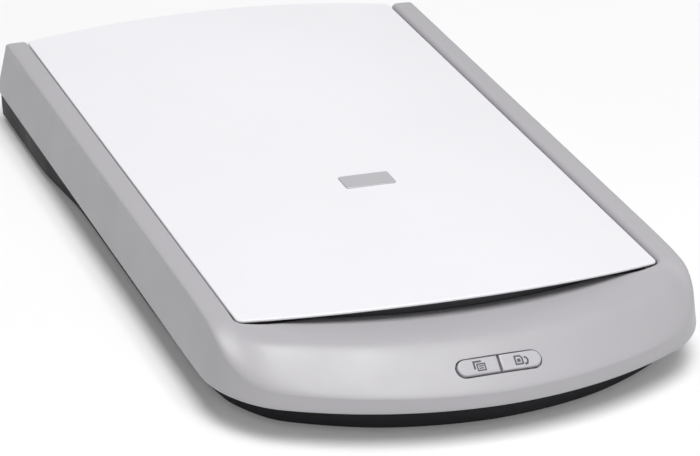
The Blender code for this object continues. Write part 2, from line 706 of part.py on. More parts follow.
carriage_cover = box("carriage_cover", (-CAR_X + 1, y0 + 0.6, CAR_Z1 + GAP),
                     (CAR_X - 1, y1 - 0.6, CAR_Z1 + GAP + 1.1), BLACK)
SLIT = (CAR_Y - 20.0, CAR_Y - 5.5)
cut(carriage_cover, box("slit", (-107, SLIT[0], 20), (107, SLIT[1], 50), None))

bushes = []
for name, a, b in (("front_rod_bush", y0 + 0.4, y0 + 10.6), ("rear_rod_bush", y1 - 10.6, y1 - 0.4)):
    outer = circle(ROD_X, ROD_Z, BUSH_R1, 24)
    inner = circle(ROD_X, ROD_Z, BUSH_R0, 24)
    bm = bmesh.new()
    rows = [[bm.verts.new((x, y, z)) for x, z in line]
            for line, y in ((outer, a), (outer, b), (inner, b), (inner, a))]
    for k in range(4):
        p, q = rows[k], rows[(k + 1) % 4]
        for i in range(24):
            j = (i + 1) % 24
            bm.faces.new((p[i], p[j], q[j], q[i]))
    bushes.append(finish(name, bm, BRONZE, True))

glide_shoe = box("glide_shoe", (98, CAR_Y - 18, BASE_Z + 2.0 + 0.4), (109, CAR_Y + 18, CAR_Z0 - GAP), ACETAL, 0.8)

clamp_x = PULLEY.x - BELT_R
belt_clamp = box("belt_clamp", (clamp_x - 3.2, CAR_Y - 8, 7.0), (clamp_x + 3.2, CAR_Y + 8, TUNNEL_Z - GAP), ACETAL)
cut(belt_clamp, box("clamp_slot", (clamp_x - 1.2, CAR_Y - 12, 2.0), (clamp_x + 1.2, CAR_Y + 12, BELT_Z1 + 0.5), None))

lamp_y, lamp_z = CAR_Y - 16.5, 26.6
lamp_tube = disc("lamp_tube", "x", (lamp_y, lamp_z), 1.3, -105.5, 105.5, LAMP, 16)
holders = []
for name, a, b in (("left_lamp_holder", -109.6, -103.0), ("right_lamp_holder", 103.0, 109.6)):
    holder = box(name, (a, lamp_y - 3.0, 22.6), (b, lamp_y + 3.0, 29.6), RUBBER)
    cut(holder, disc(name + "_bore", "x", (lamp_y, lamp_z), 1.6, -105.9, 105.9, None, 16))
    holders.append(holder)
reflector = [(lamp_y - 4.6, 29.4), (lamp_y - 4.2, 25.4), (lamp_y - 2.2, 23.4), (lamp_y + 1.4, 23.0),
             (lamp_y + 1.4, 23.6), (lamp_y - 1.9, 24.0), (lamp_y - 3.6, 25.7), (lamp_y - 4.0, 29.4)]
lamp_reflector = prism_x("lamp_reflector", reflector, -102.5, 102.5, STEEL)


def strip(name, half_length, centre, width, thickness, tilt, mat):
    """A mirror strip along X whose face is turned about X by tilt degrees from facing up."""
    y, z = centre
    turn = Matrix.Translation(Vector((0, y, z))) @ Matrix.Rotation(radians(tilt), 4, "X")
    w, t = width / 2, thickness / 2
    loops = [[tuple(turn @ Vector((x, a, b))) for a, b in ((-w, -t), (w, -t), (w, t), (-w, t))]
             for x in (-half_length, half_length)]
    return skin(name, loops, mat)


first_mirror = strip("first_mirror", 106.0, (CAR_Y - 9.0, 22.6), 9.0, 2.0, -45.0, MIRROR)
second_mirror = strip("second_mirror", 78.0, (CAR_Y + 21.0, 25.4), 8.0, 2.0, 82.0, MIRROR)
third_mirror = strip("third_mirror", 55.0, (CAR_Y - 20.0, 16.6), 8.0, 2.0, -86.0, MIRROR)
lens_barrel = skin("lens_barrel", [[(x, y, z) for x, z in circle(0, 16.6, r, 24)] for r, y in
                                   ((3.6, CAR_Y - 2), (4.4, CAR_Y - 1), (4.4, CAR_Y + 7),
                                    (3.8, CAR_Y + 7.6), (3.8, CAR_Y + 13))], LENS, True)
sensor_board = box("sensor_board", (-35, CAR_Y + 21.6, 12.2), (35, CAR_Y + 23.2, 20.6), BOARD)
line_sensor = box("line_sensor", (-22, CAR_Y + 18.2, 13.6), (22, CAR_Y + 21.2, 19.6), BLACK, 0.4)

# ---------------------------------------------------------------- drive train
def gear_outline(teeth, centre, phase):
    """Spur gear outline with slim involute-like teeth; phase puts a tooth on that angle."""
    r = MODULE * teeth / 2
    base = r * cos(radians(20))
    tip, root = r + 0.85 * MODULE, r - 1.15 * MODULE
    half = 0.36 * MODULE * pi / 2 / r * 1.0          # half tooth angle on the pitch circle

    def inv(a):
        return tan(a) - a

    def half_at(radius):
        if radius <= base:
            return half + inv(radians(20))
        a = acos(base / radius)
        return half + inv(radians(20)) - inv(a)

    pts = []
    low = max(root + 0.02, base)
    for k in range(teeth):
        mid = phase + 2 * pi * k / teeth
        for radius, sign in ((root, -1), (low, -1), (r, -1), (tip, -1), (tip, 1), (r, 1), (low, 1), (root, 1)):
            if radius == root:
                ang = mid + sign * (half_at(low) + 0.03 / r)
            else:
                ang = mid + sign * half_at(radius)
            pts.append((centre[0] + radius * cos(ang), centre[1] + radius * sin(ang)))
    return pts


def heading(a, b):
    return atan2(b[1] - a[1], b[0] - a[0])


TO_REDUCTION = heading(PULLEY, REDUCTION)
TO_MOTOR = heading(REDUCTION, MOTOR)

drive_gear = prism("drive_gear", gear_outline(WHEEL_T, PULLEY, TO_REDUCTION), 25.0, 29.0, ACETAL)
add(drive_gear, disc("drive_hub", "z", PULLEY, 2.5, 13.0, 26.0, None, 20),
    skin("drive_pulley", [[(x, y, z) for x, y in circle(*PULLEY, r, 28)] for r, z in
                          ((6.8, 7.2), (6.8, 7.9), (4.8, 7.95), (4.8, 14.05), (6.8, 14.1), (6.8, 14.8))], None))
cut(drive_gear, disc("drive_bore", "z", PULLEY, BORE_R, 0.0, 40.0, None, 16))

reduction_gear = prism("reduction_gear", gear_outline(WHEEL_T, REDUCTION, TO_MOTOR), 20.5, 24.3, ACETAL)
add(reduction_gear,
    prism("reduction_pinion", gear_outline(PINION_T, REDUCTION, TO_REDUCTION + pi + pi / PINION_T), 23.5, 29.0, None),
    disc("reduction_hub", "z", REDUCTION, 2.5, 15.9, 21.5, None, 20))
cut(reduction_gear, disc("reduction_bore", "z", REDUCTION, BORE_R, 0.0, 40.0, None, 16))

motor_pinion = prism("motor_pinion", gear_outline(PINION_T, MOTOR, TO_MOTOR + pi + pi / PINION_T), 20.2, 24.6, ZINC)
stepper_motor = skin("stepper_motor", [[(x, y, z) for x, y in circle(*MOTOR, r, 32)] for r, z in
                                       ((MOTOR_R - 0.6, BASE_Z + 2.0 + GAP), (MOTOR_R, 6.6), (MOTOR_R, 18.4),
                                        (MOTOR_R - 0.6, 19.0), (4.0, 19.0), (3.6, 19.9))], ZINC, True)

idler_pulley = skin("idler_pulley", [[(x, y, z) for x, y in circle(*IDLER, r, 28)] for r, z in
                                     ((6.8, 7.2), (6.8, 7.9), (4.8, 7.95), (4.8, 14.05), (6.8, 14.1), (6.8, 14.8))], ACETAL)
cut(idler_pulley, disc("idler_bore", "z", IDLER, BORE_R, 0.0, 40.0, None, 16))
idler_bracket = box("idler_bracket", (IDLER.x - 7, IDLER.y - 7, BASE_Z + 2.0 + 0.35),
                    (IDLER.x + 7, IDLER.y + 9, 6.8), ZINC)
add(idler_bracket, disc("idler_post", "z", IDLER, PIN_R, 6.2, 15.4, None, 16))


def belt_line(r, n=14):
    pts = [(IDLER.x + r * cos(a), IDLER.y + r * sin(a)) for a in [pi * k / n for k in range(n + 1)]]
    pts += [(PULLEY.x + r * cos(a), PULLEY.y + r * sin(a)) for a in [pi + pi * k / n for k in range(n + 1)]]
    return pts


drive_belt = ring_prism("drive_belt", belt_line(BELT_R + BELT_T / 2), belt_line(BELT_R - BELT_T / 2 + 0.1),
                        BELT_Z0, BELT_Z1, BELT)

# ---------------------------------------------------------------- electronics
main_board = box("main_board", (-60, 198.5, 20.0), (60, 217.4, 21.6), BOARD)
usb_socket = box("usb_socket", (USB_X - 6.0, 206.0, PORT_Z0), (USB_X + 6.0, REAR_Y - 0.4, PORT_Z1), ZINC)
cut(usb_socket, box("usb_mouth", (USB_X - 4.3, 211.0, PORT_Z0 + 1.4), (USB_X + 4.3, 240.0, PORT_Z1 - 1.4), None))
add(usb_socket, box("usb_tongue", (USB_X - 2.8, 210.0, 26.0), (USB_X + 2.8, REAR_Y - 2.0, 28.6), None))
power_jack = box("power_jack", (JACK_X - 4.6, 207.0, PORT_Z0), (JACK_X + 4.6, REAR_Y - 0.4, PORT_Z1), BLACK)
cut(power_jack, disc("jack_mouth", "y", (JACK_X, 27.2), 3.1, 211.0, 240.0, None, 24))
add(power_jack, disc("jack_pin", "y", (JACK_X, 27.2), 1.0, 210.0, REAR_Y - 2.0, None, 12))


def ribbon(name, path, thickness, x0, x1, mat):
    """A flat cable of even thickness along a path in the YZ plane."""
    sides = ([], [])
    for i, (y, z) in enumerate(path):
        a, b = path[max(0, i - 1)], path[min(len(path) - 1, i + 1)]
        d = hypot(b[0] - a[0], b[1] - a[1])
        ny, nz = -(b[1] - a[1]) / d, (b[0] - a[0]) / d
        for line, sign in zip(sides, (1, -1)):
            line.append((y + sign * ny * thickness / 2, z + sign * nz * thickness / 2))
    return prism_x(name, sides[0] + sides[1][::-1], x0, x1, mat)


CABLE_Z = BASE_Z + 2.0 + 0.5
CABLE_Y = 37.0
fixed_path = [(CABLE_Y + 0.2, CABLE_Z), (196.0, CABLE_Z)]
fixed_path += [(196.0 + 5 * sin(radians(a)), CABLE_Z + 5 - 5 * cos(radians(a))) for a in range(15, 91, 15)]
fixed_path += [(201.0, 19.6)]
fixed_cable = ribbon("fixed_flat_cable", fixed_path, 0.4, 27.0, 44.0, CABLE)
moving_path = [(CABLE_Y - 0.2, CABLE_Z)] + [(-60.0 - 6 * k, CABLE_Z + 6.4 * smoothstep(k / 8)) for k in range(9)]
moving_path += [(y1 + GAP + 0.1, CABLE_Z + 6.4)]
moving_cable = ribbon("moving_flat_cable", moving_path, 0.4, 27.0, 44.0, CABLE)

# ================================================================ moving groups
lift = anchor("axis_hinge_lift", (0.0, HINGE_Y, DECK_Z))
lid_axis = anchor("axis_lid_hinge", (0.0, HINGE_Y, HINGE_Z))
carry(lift, hinge_objects["left"][0], hinge_objects["right"][0])
carry(lid_axis, lid_shell, lid_liner, foam_pad, backing_sheet, badge_plate,
      *hinge_objects["left"][1:], *hinge_objects["right"][1:])
carriage_axis = anchor("axis_carriage", (ROD_X, CAR_Y, ROD_Z))
carry(carriage_axis, carriage_frame, carriage_cover, *bushes, glide_shoe, belt_clamp, lamp_tube, *holders,
      lamp_reflector, first_mirror, second_mirror, third_mirror, lens_barrel, sensor_board, line_sensor)
carry(anchor("axis_drive_gear", (*PULLEY, 0.0)), drive_gear)
carry(anchor("axis_reduction_gear", (*REDUCTION, 0.0)), reduction_gear)
carry(anchor("axis_motor_pinion", (*MOTOR, 0.0)), motor_pinion)
carry(anchor("axis_idler_pulley", (*IDLER, 0.0)), idler_pulley)
for side, sx in (("left", -1), ("right", 1)):
    carry(anchor("axis_%s_button" % side, tuple(BUTTON_FRAME @ Vector((sx * 11.5, 0, 0)))), buttons[side])
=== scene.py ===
"""Looks of the flatbed scanner: fine shells, finishes, stage, light and camera.

Lengths below are in millimetres and are turned into metres as each piece is made.
"""
import json
import bpy
import bmesh
from math import sin, cos, pi, radians, sqrt, asin, atan2, hypot
from mathutils import Vector, Matrix


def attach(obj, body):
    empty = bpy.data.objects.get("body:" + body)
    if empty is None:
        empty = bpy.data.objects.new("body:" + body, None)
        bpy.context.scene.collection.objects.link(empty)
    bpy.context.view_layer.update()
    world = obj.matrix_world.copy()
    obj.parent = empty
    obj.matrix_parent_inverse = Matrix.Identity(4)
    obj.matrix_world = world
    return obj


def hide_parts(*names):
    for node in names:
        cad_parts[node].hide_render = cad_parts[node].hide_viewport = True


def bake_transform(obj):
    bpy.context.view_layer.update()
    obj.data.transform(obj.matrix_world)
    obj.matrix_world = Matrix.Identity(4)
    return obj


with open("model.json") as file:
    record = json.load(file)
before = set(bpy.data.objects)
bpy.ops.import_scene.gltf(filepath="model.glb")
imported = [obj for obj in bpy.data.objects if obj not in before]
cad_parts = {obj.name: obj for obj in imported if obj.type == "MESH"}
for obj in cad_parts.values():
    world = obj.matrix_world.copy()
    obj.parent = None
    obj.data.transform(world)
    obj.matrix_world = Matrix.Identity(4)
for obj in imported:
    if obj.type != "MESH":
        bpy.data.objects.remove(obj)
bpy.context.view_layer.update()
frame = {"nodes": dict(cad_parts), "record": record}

NODES = frame["nodes"]
MM = 0.001
COLLECTION = bpy.context.scene.collection

# ================================================================ sizes
HALF_W, FRONT_Y, REAR_Y, FRONT_R, CORNER_R = 140.0, -226.5, 222.0, 245.0, 52.0
LIP_Z, BASE_Z, WALL, SIDE_DRAFT = 19.2, 3.5, 2.5, 5.5
TUB_TOP = LIP_Z - 0.3
LID_HALF_W, LID_REAR, LID_APEX, LID_FRONT_R, LID_CORNER_R = 120.0, 226.5, -176.2, 320.7, 5.0
LID_EDGE_Z, LID_CROWN, LID_SKIN, LID_LIP, LID_OVERHANG = 48.0, 8.4, 2.2, 1.6, 10.0
LID_SKIRT_Z, LID_REAR_SKIRT_Z, LID_GAP = 39.0, 42.5, 0.8
DECK_Z, DECK_UNDER, RAIL_Z, PANEL_Z = 38.0, 33.4, 49.7, 47.0
GLASS = (114.0, -136.7, 176.7, 35.1, 37.9)
WINDOW = (108.5, -130.0, 170.0)
HINGE_X = 85.0
LEG = (7.0, 211.3, 217.7)
USB_X, JACK_X, PORT_Z0, PORT_Z1 = -30.0, 19.0, 22.0, 32.5
BUTTON_W, BUTTON_H, BUTTON_SPLIT, BUTTON_RISE, BUTTON_Y = 47.0, 9.6, 0.8, 0.8, -213.6
SHELF, BEND_AT, BEND_SOFT, EDGE_SHARE = 8.6, 0.47, 0.22, 0.05
PULLEY, REDUCTION = (-86.0, -177.0), (-70.8522, -182.5134)
SCREWS = (("rear_left", -118.0, 204.0), ("rear_right", 118.0, 204.0),
          ("front_left", -26.0, -182.0), ("front_right", 75.0, -182.0))
FEET = (("front_left_foot", -92.0, -168.0), ("front_right_foot", 92.0, -168.0),
        ("rear_left_foot", -118.0, 178.0), ("rear_right_foot", 118.0, 178.0))


# ================================================================ mesh helpers
def put(name, bm, mat=None, angle=32.0):
    bmesh.ops.recalc_face_normals(bm, faces=bm.faces)
    bmesh.ops.scale(bm, vec=(MM, MM, MM), verts=bm.verts)
    mesh = bpy.data.meshes.new(name)
    bm.to_mesh(mesh)
    bm.free()
    mesh.shade_smooth()
    mesh.set_sharp_from_angle(angle=radians(angle))
    if mat:
        mesh.materials.append(mat)
    obj = bpy.data.objects.new(name, mesh)
    COLLECTION.objects.link(obj)
    return obj


def skin_into(bm, loops, cap=(True, True)):
    """Skins loops of equal length, and caps the ends asked for."""
    rings = [[bm.verts.new(p) for p in loop] for loop in loops]
    n = len(rings[0])
    for a, b in zip(rings, rings[1:]):
        for i in range(n):
            j = (i + 1) % n
            bm.faces.new((a[i], a[j], b[j], b[i]))
    if cap[0]:
        bm.faces.new(list(reversed(rings[0])))
    if cap[1]:
        bm.faces.new(rings[-1])
    return rings


def skin(name, loops, mat=None, angle=32.0):
    bm = bmesh.new()
    skin_into(bm, loops)
    return put(name, bm, mat, angle)


def prism(name, outline, z0, z1, mat=None):
    return skin(name, [[(x, y, z) for x, y in outline] for z in (z0, z1)], mat)


def block(name, lo, hi, mat=None):
    return prism(name, [(lo[0], lo[1]), (hi[0], lo[1]), (hi[0], hi[1]), (lo[0], hi[1])], lo[2], hi[2], mat)


def circle(cx, cy, r, n=32, start=0.0):
    return [(cx + r * cos(start + 2 * pi * i / n), cy + r * sin(start + 2 * pi * i / n)) for i in range(n)]


def lathe_loops(cx, cy, profile, n=40):
    return [[(x, y, z) for x, y in circle(cx, cy, max(r, 0.02), n)] for r, z in profile]


def bake(obj, angle=32.0):
    """Applies the modifiers and leaves one plain mesh."""
    bpy.context.view_layer.update()
    graph = bpy.context.evaluated_depsgraph_get()
    mesh = bpy.data.meshes.new_from_object(obj.evaluated_get(graph))
    tools = [m.object for m in obj.modifiers if m.type == "BOOLEAN"]
    mats = [m for m in obj.data.materials]
    obj.modifiers.clear()
    obj.data = mesh
    mesh.materials.clear()
    for m in mats:
        mesh.materials.append(m)
    mesh.polygons.foreach_set("material_index", [0] * len(mesh.polygons))
    mesh.shade_smooth()
    mesh.set_sharp_from_angle(angle=radians(angle))
    for t in tools:
        bpy.data.objects.remove(t, do_unlink=True)
    return obj


def cut(obj, *tools, operation="DIFFERENCE"):
    for t in tools:
        mod = obj.modifiers.new("cut", "BOOLEAN")
        mod.operation = operation
        mod.solver = "EXACT"
        mod.object = t
    return bake(obj)


def settle(obj, body, slot, *nodes):
    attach(obj, body)
    if nodes:
        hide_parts(*nodes)
    return obj


def smoothstep(t):
    t = max(0.0, min(1.0, t))
    return t * t * (3 - 2 * t)


def ramp(x, knots):
    if x <= knots[0][0]:
        return knots[0][1]
    for (xa, va), (xb, vb) in zip(knots, knots[1:]):
        if x <= xb:
            return va + (vb - va) * (x - xa) / (xb - xa)
    return knots[-1][1]


def soft(x, knots, width=9.0):
    """A ramp with its corners rounded off."""
    return sum(ramp(x + width * k / 6.0, knots) * (7 - abs(k)) for k in range(-6, 7)) / 49.0


# ================================================================ plan outlines
FILLET_X = -(HALF_W - CORNER_R)
FRONT_CY = FRONT_Y + FRONT_R
FILLET_Y = FRONT_CY - sqrt((FRONT_R - CORNER_R) ** 2 - FILLET_X ** 2)
FRONT_HALF = asin(-FILLET_X / (FRONT_R - CORNER_R))
LID_CY = LID_APEX + LID_FRONT_R
LID_FX = -(LID_HALF_W - LID_CORNER_R)
LID_FY = LID_CY - sqrt((LID_FRONT_R - LID_CORNER_R) ** 2 - LID_FX ** 2)
LID_HALF = asin(-LID_FX / (LID_FRONT_R - LID_CORNER_R))


class Plan:
    """Stations along the left half of the housing, rear to front, and the lid points beside them."""

    def __init__(self, side_ys, n_corner, n_front):
        self.side, self.nc, self.nf = list(side_ys), n_corner, n_front
        self.st = [((-HALF_W, y), (-1.0, 0.0), -140.0 - y) for y in side_ys]
        start, sweep = -140.0 - FILLET_Y, pi / 2 - FRONT_HALF
        for k in range(n_corner + 1):
            a = sweep * k / n_corner
            d = (-cos(a), -sin(a))
            self.st.append(((FILLET_X + CORNER_R * d[0], FILLET_Y + CORNER_R * d[1]), d, start + CORNER_R * a))
        start += CORNER_R * sweep
        for k in range(1, n_front + 1):
            a = FRONT_HALF * (1 - k / n_front)
            d = (-sin(a), -cos(a))
            self.st.append(((FRONT_R * d[0], FRONT_CY + FRONT_R * d[1]), d, start + FRONT_R * (FRONT_HALF - a)))

    def __len__(self):
        return len(self.st)

    def outer(self, k, inset):
        (x, y), (dx, dy), _ = self.st[k]
        return (x - dx * inset, y - dy * inset)

    def along(self, k):
        return self.st[k][2]

    def lid(self, k, grow):
        if k < len(self.side):
            return (-LID_HALF_W - grow, self.side[k])
        k -= len(self.side)
        if k <= self.nc:
            a = (pi / 2 - LID_HALF) * k / self.nc
            r = LID_CORNER_R + grow
            return (LID_FX - r * cos(a), LID_FY - r * sin(a))
        a = LID_HALF * (1 - (k - self.nc) / self.nf)
        r = LID_FRONT_R + grow
        return (-r * sin(a), LID_CY - r * cos(a))

    def loop(self, fn):
        left = [fn(k) for k in range(len(self))]
        return left + [(-p[0],) + tuple(p[1:]) for p in reversed(left) if abs(p[0]) > 1e-6]


def lid_front(x):
    ax = abs(x)
    if ax <= LID_FRONT_R * sin(LID_HALF):
        return LID_CY - sqrt(LID_FRONT_R ** 2 - ax * ax)
    d = min(ax + LID_FX, LID_CORNER_R)
    return LID_FY - sqrt(max(0.0, LID_CORNER_R ** 2 - d * d))


def crown(x):
    return LID_EDGE_Z + LID_CROWN * (1 - (x / LID_HALF_W) ** 2)


def crease_z(s):
    return soft(s, ((-20, 47.4), (0, 47.2), (10, 46.6), (18, 45.0), (26, 42.2), (34, 37.8), (42, 33.4),
                    (52, 29.9), (64, 28.1), (80, 27.6), (109, 27.2), (133, 26.9), (190, 26.3)))


def inner_z(s):
    return soft(s, ((-20, RAIL_Z), (20, RAIL_Z - 0.6), (45, RAIL_Z - 1.6), (64, PANEL_Z + 0.6), (100, PANEL_Z)))


def roundness(s):
    return soft(s, ((-20, 4.0), (0, 3.4), (12, 2.4), (24, 1.72), (34, 1.52), (50, 1.46), (80, 1.5), (190, 1.5)))


def panel_rise(s, n, at):
    """Share of the panel's height left at s, from the lid (0) to the outer edge (1): rounded over on the
    rails and corners, and on the front a gentle run that bends into a straight slope with a rounded edge."""
    over = max(0.0, 1 - s ** n) ** (1 / n)

    def bent(q):
        b = (1 - q) / (1 - BEND_AT)
        return (1 + b - sqrt((1 - b) ** 2 + BEND_SOFT ** 2)) / 2

    slope = (bent(s) - bent(1.0)) / (bent(0.0) - bent(1.0))
    slope = (1 - EDGE_SHARE) * slope + EDGE_SHARE * max(0.0, 1 - s ** 20) ** (1 / 3)
    return over + (slope - over) * soft(at, ((40, 0.0), (85, 1.0)))


def inner_run(s):
    """How far the roll into the lid recess reaches sideways; inner_fall is how deep it goes."""
    return soft(s, ((-10, 3.2), (30, 2.7), (60, 1.6), (190, 1.4)))


def inner_fall(s):
    return soft(s, ((-10, 3.4), (30, 3.0), (55, 1.6), (80, 0.6), (190, 0.6)))


def shelf(x):
    """How far the front panel runs in under the lip of the lid."""
    return soft(abs(x), ((84.0, SHELF), (106.0, 0.0)))


def lower_edge(s):
    return soft(s, ((-20, 1.0), (20, 2.0), (45, 2.6), (75, 1.8), (190, 1.4)))


def draft(z):
    return SIDE_DRAFT * (z - LIP_Z) / (RAIL_Z - LIP_Z)


def tub_inset(s):
    return soft(s, ((-286, 1.7), (-270, 2.0), (-249, 4.3), (-232, 6.3), (-222, 7.3), (-200, 7.7), (-90, 8.0),
                    (-46, 8.6), (-6, 9.4), (15, 13.6), (32, 16.4), (44, 17.0), (60, 16.4), (81, 15.1),
                    (120, 13.0), (190, 12.2)))


# ================================================================ finishes
class Finish:
    """A node material built step by step."""

    def __init__(self, name):
        self.mat = bpy.data.materials.new(name)
        self.mat.use_nodes = True
        self.tree = self.mat.node_tree
        self.bsdf = self.tree.nodes["Principled BSDF"]
        self.coord = self.tree.nodes.new("ShaderNodeTexCoord").outputs["Object"]

    def set(self, **values):
        for key, value in values.items():
            self.bsdf.inputs[key.replace("_", " ")].default_value = value
        return self

    def node(self, kind, links=(), **values):
        n = self.tree.nodes.new(kind)
        for key, value in values.items():
            if hasattr(n, key) and key not in n.inputs:
                setattr(n, key, value)
            else:
                n.inputs[key.replace("_", " ")].default_value = value
        for socket, source in links:
            self.tree.links.new(source, n.inputs[socket])
        return n

    def stretched(self, sx, sy, sz):
        return self.node("ShaderNodeMapping", [("Vector", self.coord)], Scale=(sx, sy, sz)).outputs["Vector"]

    def noise(self, scale, detail=2.0, rough=0.5, vector=None):
        n = self.node("ShaderNodeTexNoise", [("Vector", vector or self.coord)])
        n.inputs["Scale"].default_value = scale
        n.inputs["Detail"].default_value = detail
        n.inputs["Roughness"].default_value = rough
        return n.outputs["Fac"]

    def math(self, op, a, b=None):
        n = self.tree.nodes.new("ShaderNodeMath")
        n.operation = op
        for i, v in enumerate((a, b)):
            if v is None:
                continue
            if hasattr(v, "is_linked"):
                self.tree.links.new(v, n.inputs[i])
            else:
                n.inputs[i].default_value = v
        return n.outputs[0]

    def remap(self, fac, lo, hi, a=0.3, b=0.7):
        n = self.node("ShaderNodeMapRange", [("Value", fac)])
        for key, v in (("From Min", a), ("From Max", b), ("To Min", lo), ("To Max", hi)):
            n.inputs[key].default_value = v
        return n.outputs["Result"]

    def shades(self, fac, stops):
        n = self.node("ShaderNodeValToRGB", [("Fac", fac)])
        band = n.color_ramp
        while len(band.elements) < len(stops):
            band.elements.new(0.5)
        for e, (pos, rgb) in zip(band.elements, stops):
            e.position = pos
            e.color = (*rgb, 1.0)
        return n.outputs["Color"]

    def color(self, socket):
        self.tree.links.new(socket, self.bsdf.inputs["Base Color"])
        return self

    def rough(self, socket):
        self.tree.links.new(socket, self.bsdf.inputs["Roughness"])
        return self

    def relief(self, *layers):
        """Bump layers, each a height, a depth in metres and a strength."""
        normal = None
        for height, depth, strength in layers:
            n = self.node("ShaderNodeBump", [("Height", height)])
            n.inputs["Distance"].default_value = depth
            n.inputs["Strength"].default_value = strength
            if normal:
                self.tree.links.new(normal, n.inputs["Normal"])
            normal = n.outputs["Normal"]
        self.tree.links.new(normal, self.bsdf.inputs["Normal"])
        return self


def mix(rgb, k):
    return tuple(max(0.0, min(1.0, c * k)) for c in rgb)


def moulded(name, rgb, rough, grain=0.45, depth=0.018, vary=0.02, gloss=0.5, speck=0.0):
    """Moulded plastic: spark-eroded grain, slow shade drift, handled patches of sheen."""
    f = Finish(name)
    drift = f.noise(9.0, 4.0, 0.55)
    stops = [(0.30, mix(rgb, 1 - vary)), (0.70, mix(rgb, 1 + vary))]
    if speck:
        stops = [(0.30, mix(rgb, 1 - vary - speck))] + [(0.42, mix(rgb, 1 - vary)), (0.70, mix(rgb, 1 + vary))]
    f.color(f.shades(drift, stops))
    f.rough(f.remap(f.noise(26.0, 5.0, 0.6), rough - 0.06, rough + 0.07))
    f.relief((f.noise(1000.0 / grain, 3.0, 0.6), depth * MM, 0.5), (f.noise(55.0, 2.0, 0.4), 0.05 * MM, 0.12))
    f.set(Specular_IOR_Level=gloss)
    return f.mat


def metal(name, rgb, rough, stretch=(1.0, 1.0, 1.0), scale=900.0, depth=0.006, vary=0.06, body=1.0):
    f = Finish(name)
    v = f.stretched(*stretch)
    lines = f.noise(scale, 4.0, 0.6, v)
    f.color(f.shades(lines, [(0.28, mix(rgb, 1 - vary)), (0.72, mix(rgb, 1 + vary))]))
    f.rough(f.remap(f.noise(scale * 0.4, 3.0, 0.5, v), rough - 0.07, rough + 0.10))
    f.relief((lines, depth * MM, 0.35))
    f.set(Metallic=body)
    return f.mat


LID_WHITE = moulded("lid_white", (0.822, 0.812, 0.840), 0.40, 0.40, 0.012, 0.012)
INNER_WHITE = moulded("inner_white", (0.70, 0.70, 0.70), 0.48, 0.6, 0.02, 0.02)
HOUSING_GREY = moulded("housing_grey", (0.427, 0.417, 0.436), 0.40, 0.45, 0.016, 0.014, 0.60)
# Dark grey of the strip under the lid's front lip: painted shade standing in for the shadow in the finger gap.
GAP_SHADE_GREY = moulded("gap_shade_grey", (0.150, 0.148, 0.155), 0.62, 0.7, 0.03, 0.10, 0.25)
CHARCOAL = moulded("charcoal", (0.008, 0.008, 0.010), 0.55, 0.7, 0.03, 0.14, 0.22)
BLACK = moulded("black_plastic", (0.018, 0.018, 0.020), 0.5, 0.6, 0.03, 0.2)
BUTTON_GREY = moulded("button", (0.455, 0.446, 0.468), 0.36, 0.35, 0.008, 0.015)
ACETAL = moulded("acetal", (0.74, 0.73, 0.68), 0.36, 1.2, 0.01, 0.03)
LENS_BLACK = metal("lens", (0.05, 0.05, 0.055), 0.38, (0.3, 1.0, 1.0), 700.0)
STEEL = metal("steel", (0.60, 0.60, 0.62), 0.26, (1.0, 0.02, 1.0), 1500.0)
BADGE_METAL = metal("badge", (0.535, 0.525, 0.548), 0.40, (0.03, 1.0, 1.0), 2600.0, 0.004, 0.05, 0.25)
BRONZE = metal("bronze", (0.50, 0.33, 0.15), 0.42, (1.0, 1.0, 1.0), 1400.0, 0.02, 0.18)


def zinc_finish():
    f = Finish("zinc")
    cells = f.node("ShaderNodeTexVoronoi", [("Vector", f.coord)], Scale=260.0).outputs["Color"]
    tone = f.node("ShaderNodeRGBToBW", [("Color", cells)]).outputs["Val"]
    f.color(f.shades(tone, [(0.2, (0.46, 0.47, 0.48)), (0.8, (0.60, 0.60, 0.61))]))
    f.rough(f.remap(tone, 0.30, 0.46, 0.0, 1.0))
    f.relief((f.noise(800.0, 3.0), 0.01 * MM, 0.4))
    f.set(Metallic=1.0)
    return f.mat


def rubber_finish():
    f = Finish("rubber")
    f.color(f.shades(f.noise(120.0, 5.0, 0.7), [(0.3, (0.018, 0.018, 0.018)), (0.7, (0.036, 0.035, 0.034))]))
    f.rough(f.remap(f.noise(60.0, 3.0), 0.72, 0.92))
    f.relief((f.noise(1500.0, 3.0, 0.7), 0.03 * MM, 0.6))
    f.set(Specular_IOR_Level=0.35)
    return f.mat


def foam_finish():
    f = Finish("foam")
    cells = f.node("ShaderNodeTexVoronoi", [("Vector", f.coord)], Scale=1300.0).outputs["Distance"]
    f.color(f.shades(cells, [(0.1, (0.40, 0.40, 0.41)), (0.6, (0.62, 0.62, 0.62))]))
    f.rough(f.remap(f.noise(90.0), 0.88, 0.98))
    f.relief((cells, 0.12 * MM, 0.9))
    f.set(Sheen_Weight=0.25)
    return f.mat


